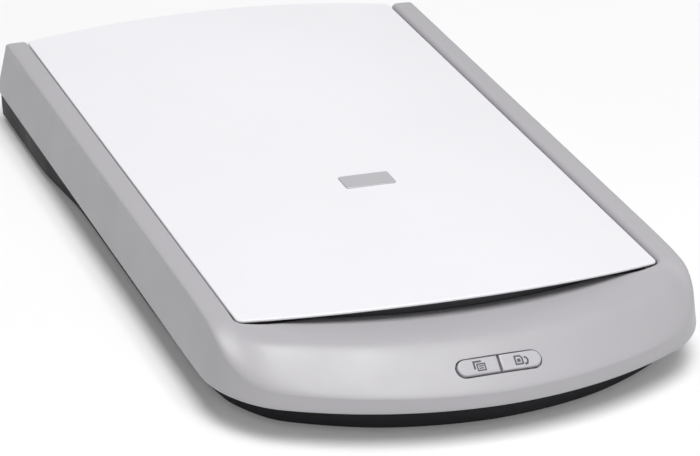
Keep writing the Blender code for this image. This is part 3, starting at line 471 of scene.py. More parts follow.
def film_finish(name, ticks=False):
    """White film; with ticks it carries plain size marks every 5 and 10 mm."""
    f = Finish(name)
    base = f.shades(f.noise(14.0, 4.0), [(0.3, (0.80, 0.80, 0.80)), (0.7, (0.84, 0.84, 0.835))])
    if ticks:
        xyz = f.node("ShaderNodeSeparateXYZ", [("Vector", f.coord)]).outputs
        fine = f.math("LESS_THAN", f.math("PINGPONG", xyz["X"], 0.0025), 0.00014)
        wide = f.math("LESS_THAN", f.math("PINGPONG", xyz["X"], 0.005), 0.00022)
        near = f.math("GREATER_THAN", xyz["Y"], -0.1414)
        far = f.math("GREATER_THAN", xyz["Y"], -0.1438)
        mark = f.math("MAXIMUM", f.math("MULTIPLY", fine, near), f.math("MULTIPLY", wide, far))
        paint = f.node("ShaderNodeMix", [("Factor", mark)], data_type="RGBA")
        f.tree.links.new(base, paint.inputs[6])
        paint.inputs[7].default_value = (0.04, 0.04, 0.045, 1.0)
        base = paint.outputs[2]
    f.color(base)
    f.rough(f.remap(f.noise(40.0, 4.0), 0.38, 0.52))
    f.relief((f.noise(2200.0, 2.0), 0.006 * MM, 0.4))
    return f.mat


def glass_finish():
    f = Finish("platen_glass")
    f.color(f.shades(f.noise(5.0, 2.0), [(0.3, (0.93, 0.97, 0.955)), (0.7, (0.95, 0.985, 0.97))]))
    f.rough(f.remap(f.noise(30.0, 6.0, 0.65), 0.0, 0.035, 0.45, 0.8))
    f.relief((f.noise(8.0, 1.0), 0.01 * MM, 0.1))
    f.set(Transmission_Weight=1.0, IOR=1.50)
    return f.mat


def lamp_finish():
    f = Finish("lamp")
    f.color(f.shades(f.noise(300.0, 3.0), [(0.3, (0.86, 0.87, 0.88)), (0.7, (0.92, 0.93, 0.94))]))
    f.rough(f.remap(f.noise(80.0), 0.10, 0.18))
    f.relief((f.noise(700.0), 0.004 * MM, 0.3))
    f.set(Coat_Weight=0.6, Coat_Roughness=0.06)
    return f.mat


def mirror_finish():
    f = Finish("mirror")
    f.color(f.shades(f.noise(40.0, 3.0), [(0.3, (0.83, 0.84, 0.85)), (0.7, (0.88, 0.89, 0.90))]))
    f.rough(f.remap(f.noise(150.0, 4.0), 0.015, 0.05))
    f.relief((f.noise(20.0), 0.002 * MM, 0.1))
    f.set(Metallic=1.0)
    return f.mat


def board_finish():
    """Green solder mask over a pattern of tracks, with tinned pads."""
    f = Finish("board")
    v = f.stretched(1.0, 1.0, 1.0)
    tracks = f.node("ShaderNodeTexBrick", [("Vector", v)], Scale=150.0)
    tracks.inputs["Color1"].default_value = (0.012, 0.10, 0.045, 1)
    tracks.inputs["Color2"].default_value = (0.018, 0.14, 0.06, 1)
    tracks.inputs["Mortar"].default_value = (0.035, 0.24, 0.10, 1)
    tracks.inputs["Mortar Size"].default_value = 0.03
    pads = f.node("ShaderNodeTexVoronoi", [("Vector", f.coord)], Scale=330.0)
    dot = f.math("LESS_THAN", pads.outputs["Distance"], 0.16)
    paint = f.node("ShaderNodeMix", [("Factor", dot)], data_type="RGBA")
    f.tree.links.new(tracks.outputs["Color"], paint.inputs[6])
    paint.inputs[7].default_value = (0.55, 0.54, 0.50, 1)
    f.color(paint.outputs[2])
    f.rough(f.remap(f.noise(60.0), 0.30, 0.42))
    f.relief((tracks.outputs["Fac"], 0.03 * MM, 0.5), (f.noise(600.0), 0.01 * MM, 0.3))
    f.set(Coat_Weight=0.25)
    return f.mat


def belt_finish():
    f = Finish("belt")
    xyz = f.node("ShaderNodeSeparateXYZ", [("Vector", f.coord)]).outputs
    teeth = f.math("PINGPONG", xyz["Y"], 0.001)
    teeth = f.math("MULTIPLY", teeth, 1000.0)
    f.color(f.shades(teeth, [(0.25, (0.014, 0.014, 0.014)), (0.75, (0.034, 0.033, 0.033))]))
    f.rough(f.remap(f.noise(200.0), 0.62, 0.8))
    f.relief((teeth, 0.3 * MM, 0.6), (f.noise(1500.0), 0.02 * MM, 0.4))
    return f.mat


def cable_finish():
    """Flat cable: parallel conductors showing faintly through white film."""
    f = Finish("cable")
    xyz = f.node("ShaderNodeSeparateXYZ", [("Vector", f.coord)]).outputs
    wires = f.math("MULTIPLY", f.math("PINGPONG", xyz["X"], 0.0005), 2000.0)
    f.color(f.shades(wires, [(0.35, (0.60, 0.60, 0.57)), (0.6, (0.76, 0.76, 0.73))]))
    f.rough(f.remap(f.noise(120.0), 0.34, 0.46))
    f.relief((wires, 0.08 * MM, 0.5))
    return f.mat


def ink_finish():
    f = Finish("ink")
    f.color(f.shades(f.noise(900.0, 3.0), [(0.3, (0.055, 0.055, 0.062)), (0.7, (0.085, 0.085, 0.095))]))
    f.rough(f.remap(f.noise(500.0), 0.42, 0.55))
    f.relief((f.noise(2500.0), 0.008 * MM, 0.4))
    return f.mat


ZINC, RUBBER, FOAM = zinc_finish(), rubber_finish(), foam_finish()
FILM, TICKED = film_finish("white_sheet"), film_finish("size_marks", True)
CLEAR, LAMP, MIRROR, BOARD = glass_finish(), lamp_finish(), mirror_finish(), board_finish()
BELT, CABLE, INK = belt_finish(), cable_finish(), ink_finish()


# ================================================================ upper housing
def housing_form(name, side_ys, nc, nf, inset, drop, lowest, steps, shell):
    """Outer form of the housing with its lid recess, or with shell off the plain form inside it."""
    plan = Plan(side_ys, nc, nf)
    loops = []

    def wall(k, z, extra=0.0):
        x, y = plan.outer(k, inset + draft(z) + extra)
        return (x, side_ys[0], z) if k == 0 else (x, y, z)

    if shell:
        loops.append(plan.loop(lambda k: wall(k, LIP_Z, 7.0)))
        for t in (0, 22, 45, 68):
            loops.append(plan.loop(lambda k: wall(
                k, LIP_Z + lower_edge(plan.along(k)) * (1 - cos(radians(t))),
                lower_edge(plan.along(k)) * (1 - sin(radians(t))))))
        for q in (0.0, 0.3, 0.6, 0.85):
            loops.append(plan.loop(lambda k: wall(
                k, LIP_Z + lower_edge(plan.along(k))
                + q * (crease_z(plan.along(k)) - LIP_Z - lower_edge(plan.along(k))))))
    else:
        loops.append(plan.loop(lambda k: wall(k, lowest)))

    def panel(k, s):
        at = plan.along(k)
        zc, zi, n = crease_z(at), inner_z(at), roundness(at)
        ox, oy = plan.outer(k, inset + draft(zc))
        ix, iy = plan.lid(k, (LID_GAP + inner_run(at)) if shell else 2.0 + inset)
        z = zc + (zi - zc) * panel_rise(s, n, at) - drop
        x, y = ix + (ox - ix) * s, iy + (oy - iy) * s
        return (x, side_ys[0], z) if k == 0 else (x, y, z)

    for s in steps:
        loops.append(plan.loop(lambda k: panel(k, s)))

    def tuck(k):
        return shelf(plan.lid(k, 0.0)[0])

    if not shell:
        loops.append(plan.loop(lambda k: (*plan.lid(k, -4.4 - tuck(k)), inner_z(plan.along(k)) - drop)))
        return skin(name, loops)

    def edge(k, t):
        at = plan.along(k)
        x, y = plan.lid(k, LID_GAP - tuck(k) + (inner_run(at) + tuck(k)) * (1 - sin(t)))
        return (x, y, inner_z(at) - inner_fall(at) * (1 - cos(t)))

    for t in (8, 16, 24, 32, 40, 48, 56, 64, 72, 80, 86, 90):
        loops.append(plan.loop(lambda k: edge(k, radians(t))))
    loops.append(plan.loop(lambda k: (*plan.lid(k, LID_GAP - tuck(k)), (edge(k, pi / 2)[2] + 38.8) / 2)))
    for z, grow in ((38.8, LID_GAP), (38.25, LID_GAP - 0.22), (DECK_Z, LID_GAP - 0.8), (DECK_Z, -4.2)):
        loops.append(plan.loop(lambda k: (*plan.lid(k, grow - tuck(k)), z)))
    return skin(name, loops, HOUSING_GREY)


def recess_outline(grow, rear, corner=10, front=20):
    left = [(-LID_HALF_W - grow, rear), (-LID_HALF_W - grow, LID_FY + 0.4)]
    for k in range(corner):
        a = (pi / 2 - LID_HALF) * (k + 0.63) / corner
        r = LID_CORNER_R + grow
        left.append((LID_FX - r * cos(a), LID_FY - r * sin(a)))
    for k in range(front):
        a = LID_HALF * (1 - (k + 0.41) / front)
        r = LID_FRONT_R + grow
        left.append((-r * sin(a), LID_CY - r * cos(a) + shelf(r * sin(a))))
    return left + [(-x, y) for x, y in reversed(left)]


def tub_outline(extra, rear=REAR_Y - 1.5):
    ys = [rear] + [150.0 - 6 * k for k in range(17)] + [30.0, -10.0, -50.0, -80.0, -100.0, -118.0, -130.0, -140.0, -147.0]
    left = [(-HALF_W + tub_inset(-140.0 - y) + extra, y - (extra if i == 0 else 0.0)) for i, y in enumerate(ys)]
    plan = Plan([], 22, 26)
    for k in range(len(plan)):
        left.append(plan.outer(k, tub_inset(plan.along(k)) + extra))
    return left + [(-x, y) for x, y in reversed(left) if abs(x) > 1e-6]


PANEL_STEPS = [1.0, 0.9985, 0.994, 0.986, 0.973, 0.955, 0.93, 0.90, 0.865, 0.82, 0.77, 0.71, 0.64, 0.56, 0.48,
               0.40, 0.32, 0.24, 0.16, 0.08, 0.0]
SIDE_FINE = [240.0, 226.0, 212.0, 190.0, 160.0, 130.0, 100.0, 70.0, 40.0, 10.0, -20.0, -50.0, -75.0, -95.0, -110.0,
             -120.0, -128.0, -134.0, -139.0, -143.5, -147.5]
SIDE_COARSE = [REAR_Y - WALL, 60.0, -90.0, -118.0, -134.0, -146.0]

housing = housing_form("housing_shell", SIDE_FINE, 24, 30, 0.0, 0.0, LIP_Z, PANEL_STEPS, True)
hollow = housing_form("hollow", SIDE_COARSE, 10, 10, WALL, WALL, LIP_Z + WALL,
                      [1.0, 0.985, 0.94, 0.86, 0.74, 0.58, 0.4, 0.2, 0.0], False)
cut(hollow, prism("deck_block", recess_outline(LID_GAP + WALL, 260.0), DECK_UNDER, 90.0))


BUTTON_FRAME = (Matrix.Translation(Vector((0, BUTTON_Y, 36.5926)))
                @ Matrix.Rotation(radians(36.8608), 4, "X"))


def on_panel(points, w):
    return [tuple(BUTTON_FRAME @ Vector((u, v, w))) for u, v in points]


def half_pill(sx, grow, split, n=18):
    r, c = BUTTON_H / 2 + grow, BUTTON_W / 2 - BUTTON_H / 2
    pts = [(split, -r)] + [(c + r * cos(-pi / 2 + pi * k / n), r * sin(-pi / 2 + pi * k / n)) for k in range(n + 1)]
    return [(sx * u, v) for u, v in pts + [(split, r)]]


def full_pill(grow):
    right = half_pill(1, grow, 0.0)[1:-1]
    return right + [(-u, -v) for u, v in right]


def boxes(name, *spans):
    """One cutter made of several separate boxes."""
    bm = bmesh.new()
    for lo, hi in spans:
        skin_into(bm, [[(lo[0], lo[1], z), (hi[0], lo[1], z), (hi[0], hi[1], z), (lo[0], hi[1], z)] for z in (lo[2], hi[2])])
    return put(name, bm)


cut(housing,
    block("rear_cut", (-200, REAR_Y, -20), (200, 300, 120)),
    hollow,
    prism("tub_mouth", tub_outline(2.4), 10.0, LIP_Z + WALL + 0.6),
    block("glass_rebate", (-GLASS[0] - 0.4, GLASS[1] - 0.4, GLASS[3] - 0.3), (GLASS[0] + 0.4, GLASS[2] + 0.4, 60.0)),
    block("scan_window", (-WINDOW[0], WINDOW[1], 25.0), (WINDOW[0], WINDOW[2], 60.0)),
    boxes("slots", *[((sx * HINGE_X - LEG[0] - 0.4, LEG[1] - 0.4, 25.0), (sx * HINGE_X + LEG[0] + 0.4, LEG[2] + 0.4, 60.0))
                     for sx in (-1, 1)]),
    boxes("ports", ((USB_X - 6.4, 216.0, PORT_Z0 - 0.35), (USB_X + 6.4, 230.0, PORT_Z1 + 0.35)),
          ((JACK_X - 5.0, 216.0, PORT_Z0 - 0.35), (JACK_X + 5.0, 230.0, PORT_Z1 + 0.35))),
    skin("button_opening", [on_panel(full_pill(0.6), w) for w in (-12.0, 12.0)]))
settle(housing, "base", "housing_grey", "upper_housing")


# ================================================================ base tub
def tub_form():
    rows = ((6.0, BASE_Z), (2.1, BASE_Z), (1.3, BASE_Z + 0.35), (0.95, BASE_Z + 1.2), (0.45, 11.0), (0.0, TUB_TOP - 0.4), (0.3, TUB_TOP))
    return skin("tub_shell", [[(x, y, z) for x, y in tub_outline(e)] for e, z in rows], CHARCOAL)


tub = tub_form()
tub_room = skin("tub_room", [[(x, y, z) for x, y in tub_outline(e)] for e, z in ((3.4, BASE_Z + 2.0), (2.4, TUB_TOP + 4))])
sleeves = boxes("sleeves", *[((sx * HINGE_X - 9.6, LEG[1] - 2.6, 4.5), (sx * HINGE_X + 9.6, 219.0, 18.6)) for sx in (-1, 1)])
sleeve_slots = boxes("sleeve_slots", *[((sx * HINGE_X - LEG[0] - 0.4, LEG[1] - 0.35, 6.1),
                                        (sx * HINGE_X + LEG[0] + 0.4, LEG[2] + 0.35, 24.0)) for sx in (-1, 1)])
posts = bmesh.new()
for point, boss_r, boss_top, post_top in ((PULLEY, 3.2, 6.9, 29.6), (REDUCTION, 3.2, 15.6, 29.6)):
    skin_into(posts, lathe_loops(*point, ((boss_r, 4.5), (boss_r, boss_top), (1.2, boss_top), (1.2, post_top)), 24))
for x, y in ((-50.0, 203.0), (50.0, 203.0)):
    skin_into(posts, lathe_loops(x, y, ((3.0, 4.5), (3.0, 19.6)), 20))
ribs = [((x - 0.6, -122.0, 5.0), (x + 0.6, 186.0, 7.6)) for x in (-58.0, -30.0, -2.0, 62.0, 86.0)]
cut(tub, tub_room)
cut(tub, sleeves, operation="UNION")
cut(tub, sleeve_slots)
cut(tub, put("posts", posts), boxes("ribs", *ribs), operation="UNION")
cut(tub, boxes("rib_cross", *[((-70.0, y - 0.6, 5.0), (20.0, y + 0.6, 7.0)) for y in (-100.0, -30.0, 40.0, 110.0, 170.0)]),
    operation="UNION")
holes = bmesh.new()
for _, x, y in SCREWS:
    skin_into(holes, lathe_loops(x, y, ((2.0, 0.0), (2.0, 8.0)), 20))
cut(tub, put("holes", holes))
settle(tub, "base", "charcoal", "base_tub")


# ================================================================ lid
def lid_shell():
    """The lid: crowned panel, softened edge, thin front lip over the finger gap, and the skirt below, with a dark strip
    on the front of the skirt that is painted shade for the gap under the lip.
    """
    cells, rear_r = 48, 2.4
    half = cells // 2
    pts = []
    for k in range(half + 1):
        pts.append(("r", (0.0, 1.0), (-(LID_HALF_W - rear_r) * k / half, LID_REAR)))
    for k in range(1, 6):
        a = pi / 2 * k / 5
        d = (-sin(a), cos(a))
        pts.append(("r", d, (-(LID_HALF_W - rear_r) + rear_r * d[0], LID_REAR - rear_r + rear_r * d[1])))
    for y in (LID_REAR - 5.0, LID_REAR - 9.8, LID_REAR - 10.2, 200.0, 170.0, 140.0, 110.0, 80.0, 50.0, 20.0, -10.0,
              -40.0, -70.0, -95.0, -115.0, -128.0, -134.0, LID_FY + 10.6):
        pts.append(("s", (-1.0, 0.0), (-LID_HALF_W, y)))
    nc, nf = 12, 36
    for k in range(nc + 1):
        a = (pi / 2 - LID_HALF) * k / nc
        d = (-cos(a), -sin(a))
        pts.append(("f", d, (LID_FX + LID_CORNER_R * d[0], LID_FY + LID_CORNER_R * d[1])))
    for k in range(1, nf + 1):
        a = LID_HALF * (1 - k / nf)
        d = (-sin(a), -cos(a))
        pts.append(("f", d, (LID_FRONT_R * d[0], LID_CY + LID_FRONT_R * d[1])))
    count = len(pts)

    def at(k, inset, back):
        kind, d, (x, y) = pts[k]
        if kind == "r":
            inset = min(inset, 1.8)
        return x - d[0] * inset, y - d[1] * inset + (back if kind == "f" else 0.0)

    def bottom(k):
        return LID_REAR_SKIRT_Z if pts[k][0] != "f" and pts[k][2][1] > LID_REAR - 10 else LID_SKIRT_Z

    rows = []
    edge_r = 0.9
    for t in (90, 72, 54, 36, 18, 0):
        a = radians(t)
        rows.append([(*at(k, edge_r * (1 - cos(a)), 0.0), crown(pts[k][2][0]) - edge_r * (1 - sin(a)))
                     for k in range(count)])
    for inset, back, fall in ((0.0, 0.0, 1.15), (0.14, 0.0, 1.42), (0.45, 0.0, LID_LIP), (0.45, 8.4, LID_LIP),
                              (0.3, 9.4, LID_LIP + 0.25), (0.0, 10.0, LID_LIP + 1.0)):
        rows.append([(*at(k, inset if pts[k][0] == "f" else 0.0, back), crown(pts[k][2][0]) - fall)
                     for k in range(count)])
    for inset, up in ((0.0, 0.6), (0.2, 0.15), (0.6, 0.0), (1.6, 0.0), (LID_SKIN, 0.4)):
        rows.append([(*at(k, inset, 10.0), bottom(k) + up) for k in range(count)])
    rows.append([(*at(k, LID_SKIN, 10.0), crown(at(k, LID_SKIN, 10.0)[0]) - LID_SKIN) for k in range(count)])

    bm = bmesh.new()
    rings = []
    for row in rows:
        row[0] = (0.0, row[0][1], row[0][2])
        row[-1] = (0.0, row[-1][1], row[-1][2])
        left = [bm.verts.new(p) for p in row]
        rings.append(left + [bm.verts.new((-p[0], p[1], p[2])) for p in reversed(row[1:-1])])
    n = len(rings[0])
    for a, b in zip(rings, rings[1:]):
        for i in range(n):
            j = (i + 1) % n
            bm.faces.new((a[i], a[j], b[j], b[i]))

    def crowned_cap(ring, drop):
        grid = [[ring[k] for k in range(half, -1, -1)] + [ring[n - k] for k in range(1, half + 1)]]
        for k in range(half + 1, count - 1):
            l, r = ring[k], ring[n - k]
            line = [l]
            for c in range(1, cells):
                x = l.co.x + (r.co.x - l.co.x) * c / cells
                line.append(bm.verts.new((x, l.co.y, crown(x) - drop)))
            grid.append(line + [r])
        for a, b in zip(grid, grid[1:]):
            for c in range(cells):
                bm.faces.new((a[c], a[c + 1], b[c + 1], b[c]))
        for c in range(cells):
            bm.faces.new((grid[-1][c], grid[-1][c + 1], ring[count - 1]))

    crowned_cap(rings[0], 0.0)
    crowned_cap(rings[-1], LID_SKIN)

    # A dark strip over the front of the skirt, under the lip: painted shade that darkens the finger gap.
    gap_shade_strip = bmesh.new()
    front = [k for k in range(count) if pts[k][0] == "f"]

    def section(k):
        high = crown(pts[k][2][0]) - LID_LIP
        low = LID_SKIRT_Z + 0.7
        return [(*at(k, inset, back), z) for inset, back, z in (
            (0.9, 0.4, high - 0.12), (0.45, 8.3, high - 0.12), (0.22, 9.3, high - 0.37), (-0.12, 9.95, high - 1.05),
            (-0.12, 10.0, low), (0.5, 10.0, low), (0.5, 10.1, high - 1.0), (0.7, 9.6, high + 0.1),
            (0.45, 8.4, high + 0.3), (0.9, 0.4, high + 0.3))]

    left = [section(k) for k in front]
    skin_into(gap_shade_strip, left + [[(-x, y, z) for x, y, z in ring] for ring in reversed(left[:-1])])
    return put("lid_panel", bm, LID_WHITE, 36.0), put("lid_front_shade_strip", gap_shade_strip, GAP_SHADE_GREY, 36.0)


panel_piece, gap_shade_piece = lid_shell()
settle(panel_piece, "lid", "lid_white", "lid_shell")
# The dark strip under the front lip is painted shade for the finger gap.
settle(gap_shade_piece, "lid", "charcoal")


# ================================================================ badge, buttons and their marks
def rounded(hx, hy, r, n=7):
    pts = []
    for cx, cy, a0 in ((hx - r, hy - r, 0.0), (-hx + r, hy - r, 90.0), (-hx + r, -hy + r, 180.0), (hx - r, -hy + r, 270.0)):
        pts += [(cx + r * cos(radians(a0 + 90 * k / n)), cy + r * sin(radians(a0 + 90 * k / n))) for k in range(n + 1)]
    return pts


def badge():
    loops = []
    for inset, up in ((0.0, -0.05), (0.0, 0.42), (0.12, 0.60), (0.4, 0.70), (0.75, 0.72), (0.95, 0.62), (1.3, 0.60),
                      (3.0, 0.60), (5.0, 0.60), (7.2, 0.60)):
        r = max(1.9 - inset, 0.25)
        loops.append([(x, -32.0 + y, crown(x) + up) for x, y in rounded(15.0 - inset, 7.5 - inset, r)])
    return skin("badge_tile", loops, BADGE_METAL, 40.0)


settle(badge(), "lid", "badge", "badge_plate")


def button(name, sx):
    bm = bmesh.new()
    rows = ((-0.3, -5.6), (-0.3, BUTTON_RISE - 0.62), (-0.37, BUTTON_RISE - 0.36), (-0.53, BUTTON_RISE - 0.15),
            (-0.77, BUTTON_RISE - 0.03), (-1.1, BUTTON_RISE), (-2.4, BUTTON_RISE))
    skin_into(bm, [on_panel(half_pill(sx, g, BUTTON_SPLIT / 2 - 0.1 - g), w) for g, w in rows])
    skin_into(bm, [on_panel(half_pill(sx, 1.3, BUTTON_SPLIT / 2), w) for w in (-5.8, -4.6)])
    skin_into(bm, [on_panel(circle(sx * 11.5, 0, 1.8, 20), w) for w in (-7.4, -5.0)])
    return put(name, bm, BUTTON_GREY, 40.0)


settle(button("left_key", -1), "button_left", "button", "left_button")
settle(button("right_key", 1), "button_right", "button", "right_button")

MARK_W = (BUTTON_RISE + 0.002, BUTTON_RISE + 0.035)


def outline_mark(bm, outer, inner):
    """A flat closed stroke between two outlines."""
    lo, hi = MARK_W
    rows = [[bm.verts.new(p) for p in on_panel(line, w)] for line, w in ((outer, lo), (outer, hi), (inner, hi), (inner, lo))]
    n = len(outer)
    for k in range(4):
        p, q = rows[k], rows[(k + 1) % 4]
        for i in range(n):
            j = (i + 1) % n
            bm.faces.new((p[i], p[j], q[j], q[i]))


def solid_mark(bm, line):
    skin_into(bm, [on_panel(line, w) for w in MARK_W])


def rect(cx, cy, hx, hy):
    return [(cx - hx, cy - hy), (cx + hx, cy - hy), (cx + hx, cy + hy), (cx - hx, cy + hy)]


def left_mark():
    """Two sheets, one over the other."""
    bm = bmesh.new()
    cx = -11.2
    outline_mark(bm, rect(cx + 0.8, -0.75, 2.5, 2.15), rect(cx + 0.8, -0.75, 1.75, 1.4))
    for y in (-1.35, -0.15):
        solid_mark(bm, rect(cx + 0.8, y, 1.3, 0.34))
    solid_mark(bm, [(cx - 2.3, -1.6), (cx - 3.4, -1.6), (cx - 3.4, 3.0), (cx + 1.4, 3.0), (cx + 1.4, 1.95), (cx - 2.3, 1.95)])
    return put("left_mark", bm, INK)


def right_mark():
    """A sheet with a bent arrow into it."""
    bm = bmesh.new()
    cx = 11.2
    page = [(cx - 3.0, -2.7), (cx + 1.8, -2.7), (cx + 1.8, 1.3), (cx + 0.4, 2.7), (cx - 3.0, 2.7)]
    inner = [(cx - 2.1, -1.8), (cx + 0.9, -1.8), (cx + 0.9, 1.0), (cx + 0.1, 1.8), (cx - 2.1, 1.8)]
    outline_mark(bm, page, inner)
    solid_mark(bm, rect(cx - 0.6, -0.2, 0.95, 0.95))
    arc = [(cx + 2.2 + 2.5 * cos(radians(a)), -0.7 + 2.5 * sin(radians(a))) for a in range(80, -60, -15)]
    arc += [(cx + 2.2 + 1.5 * cos(radians(a)), -0.7 + 1.5 * sin(radians(a))) for a in range(-55, 85, 15)]
    solid_mark(bm, arc)
    solid_mark(bm, [(cx + 2.5, -1.6), (cx + 2.2, -3.3), (cx + 4.3, -2.8)])
    return put("right_mark", bm, INK)


settle(left_mark(), "button_left", "black_plastic")
settle(right_mark(), "button_right", "black_plastic")

# ================================================================ feet and screws
for name, x, y in FEET:
    profile = ((0.6, 0.35), (2.4, 0.35), (2.7, 0.0), (4.3, 0.0), (4.6, 0.4), (5.0, 0.4), (5.3, 0.0), (6.3, 0.0),
               (6.75, 0.12), (7.05, 0.45), (7.25, 0.9), (7.6, 3.2), (7.6, 3.48), (0.6, 3.48))
    settle(skin(name + "_pad", lathe_loops(x, y, profile, 48), RUBBER, 40.0), "base", "rubber", name)

for name, x, y in SCREWS:
    profile = ((0.4, 1.1), (2.2, 1.1), (2.75, 1.25), (3.15, 1.6), (3.3, 2.1), (3.3, 3.2), (1.5, 3.21), (1.5, 15.6), (1.1, 16.0))
    screw = skin(name + "_head", lathe_loops(x, y, profile, 32), ZINC, 40.0)
    cut(screw, boxes(name + "_cross_a", ((x - 1.7, y - 0.36, 0.5), (x + 1.7, y + 0.36, 2.2))),
        boxes(name + "_cross_b", ((x - 0.36, y - 1.7, 0.5), (x + 0.36, y + 1.7, 2.2))))
    settle(screw, "base", "steel", name + "_screw")


# ================================================================ pad and sheet under the lid
def slab(name, hx, y0, y1, z0, z1, corner, edge, mat):
    """A slab with rounded corners and softened edges."""
    cy, hy = (y0 + y1) / 2, (y1 - y0) / 2
    rows = [(edge + 3.0, z0), (edge, z0)]
    rows += [(edge * (1 - sin(radians(t))), z0 + edge * (1 - cos(radians(t)))) for t in (30, 60, 90)]
    rows += [(edge * (1 - sin(radians(t))), z1 - edge * (1 - cos(radians(t)))) for t in (90, 60, 30)]
    rows += [(edge, z1), (edge + 3.0, z1)]
    return skin(name, [[(x, cy + y, z) for x, y in rounded(hx - i, hy - i, max(corner - i, 0.3))] for i, z in rows], mat, 40.0)


foam = slab("document_pad", 112.0, -135.5, 185.0, 39.0, 41.0, 4.0, 0.7, FOAM)
settle(foam, "lid", "foam", "foam_pad")
settle(slab("document_backing", 112.0, -135.5, 185.0, DECK_Z + 0.3, DECK_Z + 0.7, 4.0, 0.12, FILM), "lid", "white_sheet", "backing_sheet")


# ================================================================ pieces that keep their CAD shape, with softened edges
def refine(node, mat, slot, width, body, segments=2, angle=30.0):
    """The node's own shape with its sharp edges eased."""
    bm = bmesh.new()
    bm.from_mesh(NODES[node].data)
    bmesh.ops.scale(bm, vec=(1000.0, 1000.0, 1000.0), verts=bm.verts)
    bmesh.ops.remove_doubles(bm, verts=bm.verts, dist=0.002)
    bmesh.ops.dissolve_limit(bm, angle_limit=radians(0.5), verts=bm.verts, edges=bm.edges)
    if width:
        sharp = [e for e in bm.edges if len(e.link_faces) == 2 and e.calc_face_angle(0.0) > radians(angle)]
        bmesh.ops.bevel(bm, geom=sharp, offset=width, segments=segments, profile=0.5, affect="EDGES", clamp_overlap=True)
    obj = put(node + "_v", bm, mat, 35.0)
    return settle(obj, body, slot, node)


BODY_OF = {n: b for b, members in frame["record"]["behaviour"]["bodies"].items() for n in members}
for node, mat, slot, width in (
        ("lid_liner", INNER_WHITE, "inner_white", 0.4), ("left_hinge_bracket", INNER_WHITE, "inner_white", 0.25),
        ("right_hinge_bracket", INNER_WHITE, "inner_white", 0.25), ("left_hinge_post", ACETAL, "acetal", 0.3),
        ("right_hinge_post", ACETAL, "acetal", 0.3), ("left_hinge_pin", STEEL, "steel", 0.2),
        ("right_hinge_pin", STEEL, "steel", 0.2), ("platen_glass", CLEAR, "glass", 0.3),
        ("size_guide_strip", TICKED, "white_sheet", 0.1), ("calibration_strip", FILM, "white_sheet", 0.1),
        ("button_board", BOARD, "board", 0.15), ("left_switch", BLACK, "black_plastic", 0.2),
        ("right_switch", BLACK, "black_plastic", 0.2), ("guide_rod", STEEL, "steel", 0.4),
        ("front_rod_bracket", ZINC, "zinc", 0.4), ("rear_rod_bracket", ZINC, "zinc", 0.4),
        ("carriage_frame", BLACK, "black_plastic", 0.3), ("carriage_cover", BLACK, "black_plastic", 0.25),
        ("front_rod_bush", BRONZE, "bronze", 0.15), ("rear_rod_bush", BRONZE, "bronze", 0.15),
        ("glide_shoe", ACETAL, "acetal", 0.3), ("belt_clamp", ACETAL, "acetal", 0.3),
        ("lamp_tube", LAMP, "lamp", 0.3), ("left_lamp_holder", RUBBER, "rubber", 0.3),
        ("right_lamp_holder", RUBBER, "rubber", 0.3), ("lamp_reflector", STEEL, "steel", 0.08),
        ("first_mirror", MIRROR, "mirror", 0.15), ("second_mirror", MIRROR, "mirror", 0.15),
        ("third_mirror", MIRROR, "mirror", 0.15), ("lens_barrel", LENS_BLACK, "lens", 0.15),
        ("sensor_board", BOARD, "board", 0.12), ("line_sensor", BLACK, "black_plastic", 0.15),
        ("drive_gear", ACETAL, "acetal", 0.12), ("reduction_gear", ACETAL, "acetal", 0.12),
        ("motor_pinion", ZINC, "zinc", 0.08), ("stepper_motor", ZINC, "zinc", 0.3),
        ("idler_pulley", ACETAL, "acetal", 0.15), ("idler_bracket", ZINC, "zinc", 0.25),
        ("drive_belt", BELT, "rubber", 0.1), ("main_board", BOARD, "board", 0.12),
        ("usb_socket", ZINC, "zinc", 0.2), ("power_jack", BLACK, "black_plastic", 0.2),
        ("fixed_flat_cable", CABLE, "cable", 0.0)):
    refine(node, mat, slot, width, BODY_OF[node])


def moving_cable():
    """The moving run of the flat cable, cut fine along its length."""
    bm = bmesh.new()
    path = [(36.8, 6.0)] + [(36.8 - 4.4 * k, 6.0) for k in range(1, 22)]
    path += [(-60.0 - 3.0 * k, 6.0 + 6.4 * smoothstep(k / 16)) for k in range(17)]
    path += [(-110.5, 12.4)]
    path = [p for i, p in enumerate(path) if i == 0 or p[0] < path[i - 1][0] - 0.3]
    loops = []
    for y, z in path:
        loops.append([(27.0, y, z - 0.2), (44.0, y, z - 0.2), (44.0, y, z + 0.2), (27.0, y, z + 0.2)])
    skin_into(bm, loops)
    return put("moving_cable_run", bm, CABLE, 40.0)


cable = moving_cable()
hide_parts("moving_flat_cable")
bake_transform(cable)


# ================================================================ small parts on the boards and carriage
def board_parts():
    bm = bmesh.new()
    for x0, y0, x1, y1, h in ((-14.0, 203.0, -2.0, 214.0, 1.6), (34.0, 201.0, 44.0, 208.0, 1.4), (-56.0, 201.0, -47.0, 206.0, 1.2),
                              (2.0, 200.5, 9.0, 204.5, 1.0), (47.0, 210.0, 55.0, 215.0, 2.4), (25.0, 199.4, 46.0, 201.9, 2.6)):
        skin_into(bm, [[(x0 + i, y0 + i, z), (x1 - i, y0 + i, z), (x1 - i, y1 - i, z), (x0 + i, y1 - i, z)]
                       for i, z in ((0.0, 21.6), (0.0, 21.6 + h - 0.2), (0.2, 21.6 + h))])
    return put("board_packages", bm, BLACK, 30.0)


def board_cans():
    bm = bmesh.new()
    for x, y, r, h in ((-52.0, 212.0, 2.6, 7.0), (-44.0, 212.4, 2.0, 5.0), (30.0, 213.0, 2.6, 7.0), (-40.0, 203.0, 2.0, 5.0)):
        skin_into(bm, lathe_loops(x, y, ((r, 21.6), (r, 22.2), (r - 0.25, 22.5), (r, 22.8), (r, 21.6 + h - 0.3),
                                         (r - 0.3, 21.6 + h), (0.3, 21.6 + h - 0.1)), 24))
    return put("board_capacitors", bm, ZINC, 35.0)


